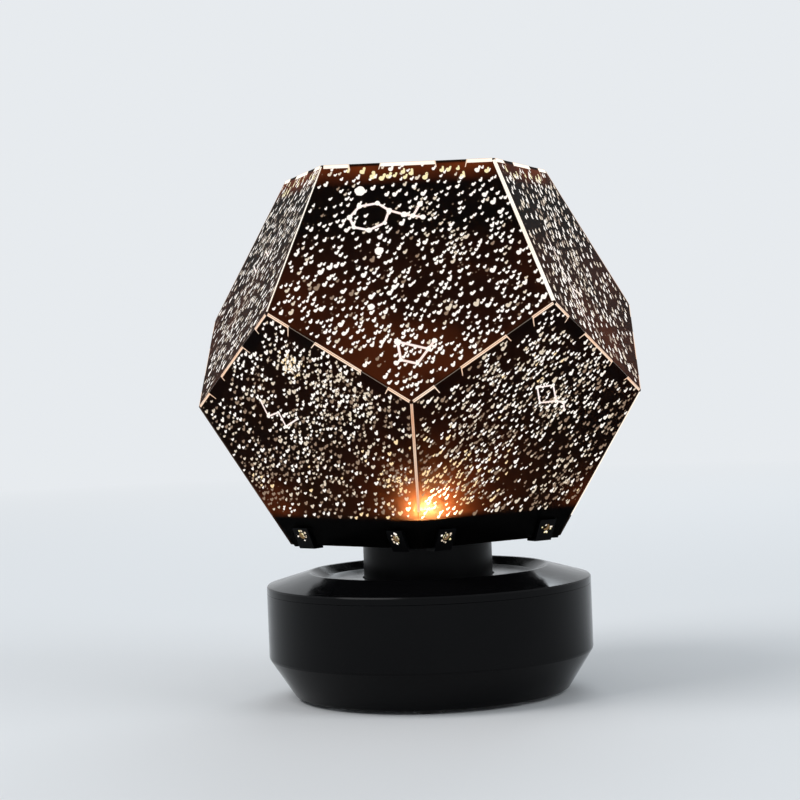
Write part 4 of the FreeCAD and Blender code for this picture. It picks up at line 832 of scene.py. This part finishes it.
def scatter_stars(face, sky):
    """Spread marks, tight clusters, and a dense band across the face."""
    zones = tab_zones(face)
    reach = PENTAGON_CORNER * panel_edge
    tail_angle = tail_angle_on(face)
    clusters = [
        (chance.uniform(*CLUSTER_ACROSS) * reach, chance.uniform(*CLUSTER_UP) * reach,
         chance.uniform(*CLUSTER_SPREADS) * MM)
        for _ in range(sky.clusters)
    ]
    band_angle = chance.uniform(*BAND_ANGLES)
    band_place = chance.uniform(*BAND_PLACES) * reach
    spacing = Spacing()
    made = tries = 0
    while made < sky.count and tries < sky.count * MOST_TRIES:
        tries += 1
        draw = chance.random()
        grouped = draw > sky.single
        if draw < sky.even:
            u, v = chance.uniform(-reach, reach), chance.uniform(-reach, reach)
            if sky.thinning:
                kept, change = sky.thinning
                if chance.random() > kept + change * v / reach:
                    continue
        elif not grouped:
            run, across = chance.uniform(-reach, reach), chance.gauss(band_place, BAND_SPREAD)
            u, v = turned(run, across, band_angle)
        else:
            cluster_u, cluster_v, spread = chance.choice(clusters)
            u, v = chance.gauss(cluster_u, spread), chance.gauss(cluster_v, spread)
        point = face.at(u, v)
        gap = face.edge_gap(u, v)
        if gap < EDGE_MARGIN or point.z < shade_low + BAND + TRAY_MARGIN:
            continue
        if not clear_of_tabs(face, zones, point):
            continue
        kind = star_kind(face, point)
        if grouped:
            kind = "cream" if kind == "white" else kind
            size = min(chance.uniform(*CLUSTER_SIZES) * MM, gap / STAR_REACH)
            add_star(kind, face, u, v, size, tail_angle)
            made += 1
            continue
        if chance.random() < DUST_SHARE:
            size = chance.uniform(*DUST_SIZES) * MM
            kind = "faint"
        else:
            least, most = sky.sizes
            size = min(least + chance.expovariate(SIZE_RATE), most) * MM
        if gap > size * STAR_REACH and spacing.free(u, v, size):
            add_star(kind, face, u, v, size, tail_angle)
            made += 1


for face in faces:
    scatter_stars(face, SKIES["front" if face is front_face else face.kind])


# Bright knots of small marks on the front pair of lower panels: place in the picture, spread,
# number of marks.
KNOTS = (
    (front_left_face, (288, 366), 2.4 * MM, 70), (front_right_face, (539, 365), 5.5 * MM, 45),
)
KNOT_SIZES, KNOT_GLOWS = (0.5, 1.0), ("white", "cream", "amber")
for face, place, spread, count in KNOTS:
    knot_u, knot_v = face.seen_at(*place)
    for _ in range(count):
        u, v = chance.gauss(knot_u, spread), chance.gauss(knot_v, spread)
        size = chance.uniform(*KNOT_SIZES) * MM
        if face.edge_gap(u, v) > size * STAR_REACH:
            add_star(chance.choice(KNOT_GLOWS), face, u, v, size, TAIL_SLANT)

# Big round stars of the front panel: place in the picture, radius in mm.
BIG_STARS = {
    "upper_left": (360, 191, 1.85), "middle": (379, 251, 1.55), "lower": (371, 307, 1.2),
}
BIG_SIDES, BIG_LIFT = 14, LIFT * 1.6
for x, y, radius in BIG_STARS.values():
    add_disc("white", front_face, *front_face.seen_at(x, y), radius * MM, BIG_SIDES, BIG_LIFT)


# ------------------------------------------------------------------ line figures
FIGURES = {
    "looped_fish": [
        [(-1.0, 0.1), (-0.7, 0.42), (-0.2, 0.46), (0.1, 0.2), (-0.05, -0.18), (-0.5, -0.36),
         (-0.9, -0.22), (-1.0, 0.1)],
        [(0.1, 0.2), (0.5, 0.02), (1.0, -0.12)],
        [(0.74, -0.05), (0.96, 0.3)],
    ],
    "bowl": [
        [(-0.8, 0.5), (-0.5, -0.5), (0.35, -0.62), (0.8, 0.25), (-0.8, 0.5)],
        [(0.8, 0.25), (1.05, 0.75)],
    ],
    "chain": [
        [(-1.0, 0.7), (-0.55, 0.45), (-0.3, 0.1), (0.15, -0.1), (0.4, -0.5), (1.0, -0.7)],
        [(0.15, -0.1), (0.55, 0.25)],
    ],
    "kite": [
        [(0.0, 0.9), (0.42, 0.3), (0.0, -0.35), (-0.42, 0.3), (0.0, 0.9)],
        [(0.0, -0.35), (0.12, -0.7), (-0.1, -1.0)],
    ],
    "ladle": [
        [(1.0, 0.45), (0.55, 0.38), (0.2, 0.12), (-0.2, 0.0), (-0.3, -0.42), (-0.9, -0.5),
         (-0.95, 0.02), (-0.2, 0.0)],
    ],
    "zigzag": [[(-1.0, 0.3), (-0.5, -0.35), (0.0, 0.15), (0.45, -0.4), (1.0, 0.35)]],
}


KNOB_SHARES, KNOB_SIDES, KNOB_LIFT = (0.75, 1.35), 9, LIFT * 1.8


def add_figure(name, face, centre_u, centre_v, size, degrees, width):
    """Strokes of light with a bright knob at each of their points."""
    for line in FIGURES[name]:
        places = [turned(x, y, math.radians(degrees)) for x, y in line]
        points = [(centre_u + size * x, centre_v + size * y) for x, y in places]
        add_stroke("figure", face, points, width)
        for u, v in points:
            radius = width * chance.uniform(*KNOB_SHARES)
            add_disc("white", face, u, v, radius, KNOB_SIDES, KNOB_LIFT)


# The figures that the picture shows, by their middles in it; sizes in mm.
FISH_PLACE, BOWL_PLACE, CHAIN_PLACE = (386, 217), (412, 352), (569, 282)
FRONT_LINE, OTHER_LINE = 0.86 * MM, 0.62 * MM
SHOWN_FIGURES = (
    (front_face, "looped_fish", FISH_PLACE, 12.5, 4, FRONT_LINE),
    (front_face, "bowl", BOWL_PLACE, 6.6, -8, FRONT_LINE),
    (right_face, "chain", CHAIN_PLACE, 14, -62, OTHER_LINE),
)
for face, name, place, size, degrees, width in SHOWN_FIGURES:
    add_figure(name, face, *face.seen_at(*place), size * MM, degrees, width)

# One or two figures on each other face: middle in panel edges, size in mm, turn in degrees.
OTHER_FIGURES = (
    (upper_faces[2], "ladle", 0.0, 0.10, 14, 20), (upper_faces[3], "kite", 0.12, 0.05, 12, -15),
    (left_face, "zigzag", -0.05, 0.15, 12, 35), (lower_faces[0], "kite", 0.15, 0.25, 9, 60),
    (lower_faces[1], "looped_fish", 0.0, 0.10, 11, 30), (lower_faces[2], "bowl", 0.1, 0.2, 9, 12),
    (lower_faces[3], "chain", 0.0, 0.15, 12, 5), (lower_faces[4], "zigzag", -0.2, 0.2, 8, -30),
    (cap_face, "ladle", -0.15, 0.1, 15, 200), (cap_face, "bowl", 0.3, -0.25, 8, 40),
)
for face, name, share_u, share_v, size, degrees in OTHER_FIGURES:
    add_figure(
        name, face, share_u * panel_edge, share_v * panel_edge, size * MM, degrees, OTHER_LINE,
    )


# ------------------------------------------------------------------ seams and folds
# A seam's bright and held spans are shares of its edge; its ticks are the light at tabs' ends.
TICK_WIDTH, TICK_TIP = 0.45 * MM, 0.6
TICK_DEPTHS = (0.35, 0.9)
BRIGHT_SPANS = ((0.012, 0.16), (0.34, 0.66), (0.84, 0.988))
HELD_SPANS = ((0.16, 0.34), (0.66, 0.84))
EDGE_WIDTH, HAIR_WIDTH = 0.12 * MM, 0.16 * MM
ABOVE_WIDTH, BELOW_WIDTH, TOP_WIDTH = 0.32 * MM, 0.56 * MM, 1.35 * MM


def add_strip(kind, face, start, end, inset, width, low, high):
    """A thin line beside an edge, from one share of its length to another."""
    along, inward = edge_frame(face, start, end)
    lifted = start + face.normal * LINE_LIFT
    near, far = inward * inset, inward * (inset + width)
    run_low, run_high = along * panel_edge * low, along * panel_edge * high
    marks[kind].add([
        lifted + run_low + near, lifted + run_high + near,
        lifted + run_high + far, lifted + run_low + far,
    ])


def add_tick(face, start, end, root_share, tip_share, depth):
    """The light that escapes along a tab's slanted end."""
    along, inward = edge_frame(face, start, end)
    lifted = start + face.normal * JOINT_LIFT
    root, tip = lifted + along * panel_edge * root_share, lifted + along * panel_edge * tip_share
    marks["seam"].add([
        root, root + along * TICK_WIDTH,
        tip + along * TICK_WIDTH * TICK_TIP + inward * depth, tip + inward * depth,
    ])


def draw_locked_seam(start, end, upper, lower):
    """A seam that shines between the tabs and shows as a hair line where they hold it shut."""
    top_edge = upper is cap_face
    for low, high in BRIGHT_SPANS:
        for face, width in ((upper, ABOVE_WIDTH), (lower, TOP_WIDTH if top_edge else BELOW_WIDTH)):
            add_strip("fold", face, start, end, 0.0, EDGE_WIDTH, low, high)
            glow = "bright_seam" if top_edge else "seam"
            add_strip(glow, face, start, end, EDGE_WIDTH, width, low, high)
    if not top_edge:
        for low, high in HELD_SPANS:
            add_strip("hair", upper, start, end, 0.0, HAIR_WIDTH, low, high)
    half = TAB_SHARE / 2
    width = TICK_WIDTH / panel_edge
    for middle in (0.5 - TAB_PLACE, 0.5 + TAB_PLACE):
        depth = TAB_DEPTH * chance.uniform(*TICK_DEPTHS)
        taper = TAB_TAPER / panel_edge * depth / TAB_DEPTH
        add_tick(lower, start, end, middle - half - width, middle - half + taper - width, depth)
        depth = TAB_DEPTH * chance.uniform(*TICK_DEPTHS)
        add_tick(lower, start, end, middle + half, middle + half - taper, depth)


# The light along a ring's folds: glow, width, and the share of the fold where it ends.
FOLD_START = 0.01
FOLDS = {"upper": ("fold", 0.42 * MM, 0.99), "lower": ("fold", 0.36 * MM, 0.76)}
SHOWN_FOLDS = {
    frozenset((front_face, right_face)): ("bright_seam", 0.95 * MM, 0.99),
    frozenset((front_face, left_face)): ("bright_seam", 0.36 * MM, 0.99),
    frozenset((front_left_face, front_right_face)): ("fold", 0.52 * MM, 0.74),
    frozenset((front_left_face, lower_faces[3])): ("hair", 0.20 * MM, 0.76),
    frozenset((front_right_face, lower_faces[1])): ("bright_seam", 0.50 * MM, 0.86),
}
for start, end, one, other in edges:
    if one.kind != other.kind:
        draw_locked_seam(start, end, one, other)
        continue
    glow, width, share = SHOWN_FOLDS.get(frozenset((one, other)), FOLDS[one.kind])
    for face in (one, other):
        add_strip(glow, face, start, end, 0.0, width, FOLD_START, share)

# Larger gold marks along the inside of each upper panel's top edge, below its bright seam.
SEAM_LINE = 1.0 * MM
GOLD_COUNT, FRONT_GOLD_COUNT = 14, 24
GOLD_RUN, GOLD_SIZES, GOLD_DEPTH, GOLD_TAIL = (-0.38, 0.46), (1.3, 2.2), 6.8 * MM, 60
for face in upper_faces:
    spacing = Spacing()
    for _ in range(FRONT_GOLD_COUNT if face is front_face else GOLD_COUNT):
        u = chance.uniform(*GOLD_RUN) * panel_edge
        size = chance.uniform(*GOLD_SIZES) * MM
        down = chance.uniform(size * STAR_REACH + SEAM_LINE, GOLD_DEPTH)
        if spacing.free(u, down, size):
            add_star("gold", face, u, PENTAGON_APOTHEM * panel_edge - down, size, GOLD_TAIL)

CLIP_PLACE = 0.36
CLIP_THICKNESS = 1.2 * MM
HOLE_HEIGHT = 4.2 * MM
HOLE_RADIUS = 1.3 * MM
HOLE_SIDES, HOLE_FILL = 16, 0.985
SPECKLES, SPECKLE_SIZES, SPECKLE_LIFTS = 7, (0.22, 0.42), (1, 1.3)
PAINTED_GLINTS, GLINT_SIZES, GLINT_REACH = 8, (0.24, 0.50), 2.2 * MM
LEAK_SPOT_SIDES, LEAK_GLOWS = 6, ("cream", "gold", "white")


def light_hole(face, hole_u, hole_v):
    """Glowing speckles on the film behind a clip's hole, painted lamp light on its wall, and
    painted glints on the clip round it.
    """
    for _ in range(SPECKLES):
        away, turn = HOLE_RADIUS * math.sqrt(chance.random()), chance.random() * 360
        du, dv = Face.polar(away, turn)
        add_disc(
            chance.choice(LEAK_GLOWS), face, hole_u + du, hole_v + dv,
            chance.uniform(*SPECKLE_SIZES) * MM, LEAK_SPOT_SIDES, LIFT * chance.uniform(*SPECKLE_LIFTS),
        )
    # The hole's wall, painted with faint lamp light.
    for step in range(HOLE_SIDES):
        one, other = (
            Face.polar(HOLE_RADIUS * HOLE_FILL, 360 / HOLE_SIDES * corner)
            for corner in (step, step + 1)
        )
        marks["leak"].add([
            face.at(hole_u + du, hole_v + dv, lift)
            for (du, dv), lift in (
                (one, LIFT), (one, CLIP_THICKNESS), (other, CLIP_THICKNESS), (other, LIFT),
            )
        ])
    # Painted glints: glowing spots on the clip's outer face round the hole.
    for _ in range(PAINTED_GLINTS):
        size = chance.uniform(*GLINT_SIZES) * MM
        away, turn = chance.uniform(HOLE_RADIUS + size, GLINT_REACH), chance.random() * 360
        du, dv = Face.polar(away, turn)
        add_disc(
            chance.choice(LEAK_GLOWS), face, hole_u + du, hole_v + dv, size, LEAK_SPOT_SIDES,
            CLIP_THICKNESS + LIFT,
        )


hole_v = HOLE_HEIGHT / math.cos(FACE_LEAN) - PENTAGON_APOTHEM * panel_edge
for face in lower_faces:
    for side in (-1, 1):
        light_hole(face, side * CLIP_PLACE * panel_edge, hole_v)

for group in marks.values():
    group.build()


# ------------------------------------------------------------------ small parts
CROSS_LENGTH, CROSS_WIDTH, CROSS_DEPTH = 3.2 * MM, 0.75 * MM, 0.03 * MM
HEAD_RADIUS = 2.8 * MM


def cross_outline(length, width):
    """The twelve corners of an upright cross."""
    near, far = width / 2, length / 2
    quarter = [(far, -near), (far, near), (near, near)]
    corners = []
    for _ in range(4):
        corners += quarter
        quarter = [(-y, x) for x, y in quarter]
    return corners


def add_screw_crosses():
    """Flat dark crosses on the heads of the four housing screws, seen from below: painted shade of
    their cross slots.
    """
    # Near black: the painted shade of a cross slot, on a thin flat cross.
    material = surface(
        "painted_slot_shade", (0.010, 0.010, 0.010), (0.022, 0.022, 0.023), 0.55, grain=0.2,
    )
    low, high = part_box("housing_screws")
    reach = high.x - HEAD_RADIUS
    outline = cross_outline(CROSS_LENGTH, CROSS_WIDTH)
    points, shapes = [], []
    for side_x in (-1, 1):
        for side_y in (-1, 1):
            angle = chance.uniform(0, math.pi / 2)
            ring = [turned(x, y, angle) for x, y in outline]
            rings = []
            for height in (low.z - CROSS_DEPTH, low.z + CROSS_DEPTH):
                rings.append(range(len(points), len(points) + len(ring)))
                points += [(side_x * reach + x, side_y * reach + y, height) for x, y in ring]
            below, above = rings
            shapes += [tuple(reversed(below)), tuple(above)]
            for step in range(len(ring)):
                shapes.append((below[step - 1], below[step], above[step], above[step - 1]))
    mesh = bpy.data.meshes.new("screw_crosses")
    mesh.from_pydata(points, [], shapes)
    mesh.materials.append(material)
    mesh.update()
    piece = bpy.data.objects.new("screw_crosses", mesh)
    bpy.context.scene.collection.objects.link(piece)
    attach(piece, "base")


add_screw_crosses()


# ------------------------------------------------------------------ studio
FLOOR_COLOUR = (0.78, 0.79, 0.80)
FLOOR_RADIUS, FLOOR_SIDES = 6, 96
FLOOR_FADE = (0.35, 1.5)
CLOSE_UNDER = 8 * MM
BACKGROUND = (0.80, 0.83, 0.86)
WORLD_COLOUR, WORLD_LIGHT = (0.9, 0.95, 1.0), 0.45
LAMP_AIM = Vector((0, 0, 0.08))
LAMP_SIZE = 0.9


def make_floor():
    """Pale floor that fades into the pale background well away from the object."""
    material, nodes, links = new_material("studio_floor")
    out = add_node(nodes, "ShaderNodeOutputMaterial")
    shader = add_node(nodes, "ShaderNodeBsdfDiffuse")
    set_input(shader, "Color", (*FLOOR_COLOUR, 1))
    haze = add_node(nodes, "ShaderNodeEmission")
    set_input(haze, "Color", (*BACKGROUND, 1))
    clear = add_node(nodes, "ShaderNodeBsdfTransparent")
    reach = add_node(nodes, "ShaderNodeVectorMath", operation="LENGTH")
    links.new(object_place(nodes), reach.inputs[0])
    share = map_range(nodes, links, reach.outputs["Value"], 0, 1, *FLOOR_FADE)
    mixer = add_node(nodes, "ShaderNodeMixShader")
    links.new(share, mixer.inputs[0])
    links.new(shader.outputs[0], mixer.inputs[1])
    links.new(haze.outputs[0], mixer.inputs[2])
    # The floor is clear from below, to the light on the object and close under it, so that a
    # view from there shows the underside. It still takes the object's shadow.
    path = add_node(nodes, "ShaderNodeLightPath")
    feet_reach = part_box("rubber_feet")[1].x
    close = multiply(
        nodes, links,
        calculate(nodes, links, "LESS_THAN", path.outputs["Ray Length"], CLOSE_UNDER),
        calculate(nodes, links, "LESS_THAN", reach.outputs["Value"], feet_reach),
    )
    open_to = add_node(nodes, "ShaderNodeNewGeometry").outputs["Backfacing"]
    for other in (path.outputs["Is Diffuse Ray"], path.outputs["Is Shadow Ray"], close):
        open_to = calculate(nodes, links, "MAXIMUM", open_to, other)
    sided = add_node(nodes, "ShaderNodeMixShader")
    links.new(open_to, sided.inputs[0])
    links.new(mixer.outputs[0], sided.inputs[1])
    links.new(clear.outputs[0], sided.inputs[2])
    links.new(sided.outputs[0], out.inputs["Surface"])
    mesh = bpy.data.meshes.new("studio_floor")
    shape = bmesh.new()
    bmesh.ops.create_circle(shape, cap_ends=True, segments=FLOOR_SIDES, radius=FLOOR_RADIUS)
    shape.to_mesh(mesh)
    shape.free()
    mesh.materials.append(material)
    floor = bpy.data.objects.new("studio_floor", mesh)
    bpy.context.scene.collection.objects.link(floor)


def make_world():
    """Even soft light, with a pale background for the camera, gloss and glass."""
    world = bpy.data.worlds.new("studio")
    bpy.context.scene.world = world
    world.use_nodes = True
    nodes, links = world.node_tree.nodes, world.node_tree.links
    nodes.clear()
    out = add_node(nodes, "ShaderNodeOutputWorld")
    light = add_node(nodes, "ShaderNodeBackground")
    set_input(light, "Color", (*WORLD_COLOUR, 1))
    set_input(light, "Strength", WORLD_LIGHT)
    pale = add_node(nodes, "ShaderNodeBackground")
    set_input(pale, "Color", (*BACKGROUND, 1))
    path = add_node(nodes, "ShaderNodeLightPath")
    seen = path.outputs["Is Camera Ray"]
    for extra in ("Is Glossy Ray", "Is Transmission Ray"):
        seen = calculate(nodes, links, "MAXIMUM", seen, path.outputs[extra])
    mixer = add_node(nodes, "ShaderNodeMixShader")
    links.new(seen, mixer.inputs[0])
    links.new(light.outputs[0], mixer.inputs[1])
    links.new(pale.outputs[0], mixer.inputs[2])
    links.new(mixer.outputs[0], out.inputs["Surface"])


def add_lamp(name, place, power, colour):
    data = bpy.data.lights.new(name, "AREA")
    data.shape = "SQUARE"
    data.size = LAMP_SIZE
    data.energy = power
    data.color = colour
    lamp = bpy.data.objects.new(name, data)
    bpy.context.scene.collection.objects.link(lamp)
    lamp.location = place
    lamp.rotation_mode = "QUATERNION"
    lamp.rotation_quaternion = (LAMP_AIM - lamp.location).to_track_quat("-Z", "Y")


make_floor()
make_world()
add_lamp("key", (-0.9, -0.5, 1.3), 11, (1, 1, 1))
add_lamp("fill", (1.2, -0.7, 0.9), 6, (0.93, 0.97, 1.0))
add_lamp("back", (0.2, 1.3, 1.1), 8, (0.88, 0.95, 1.0))
bpy.context.scene.view_settings.view_transform = "Standard"
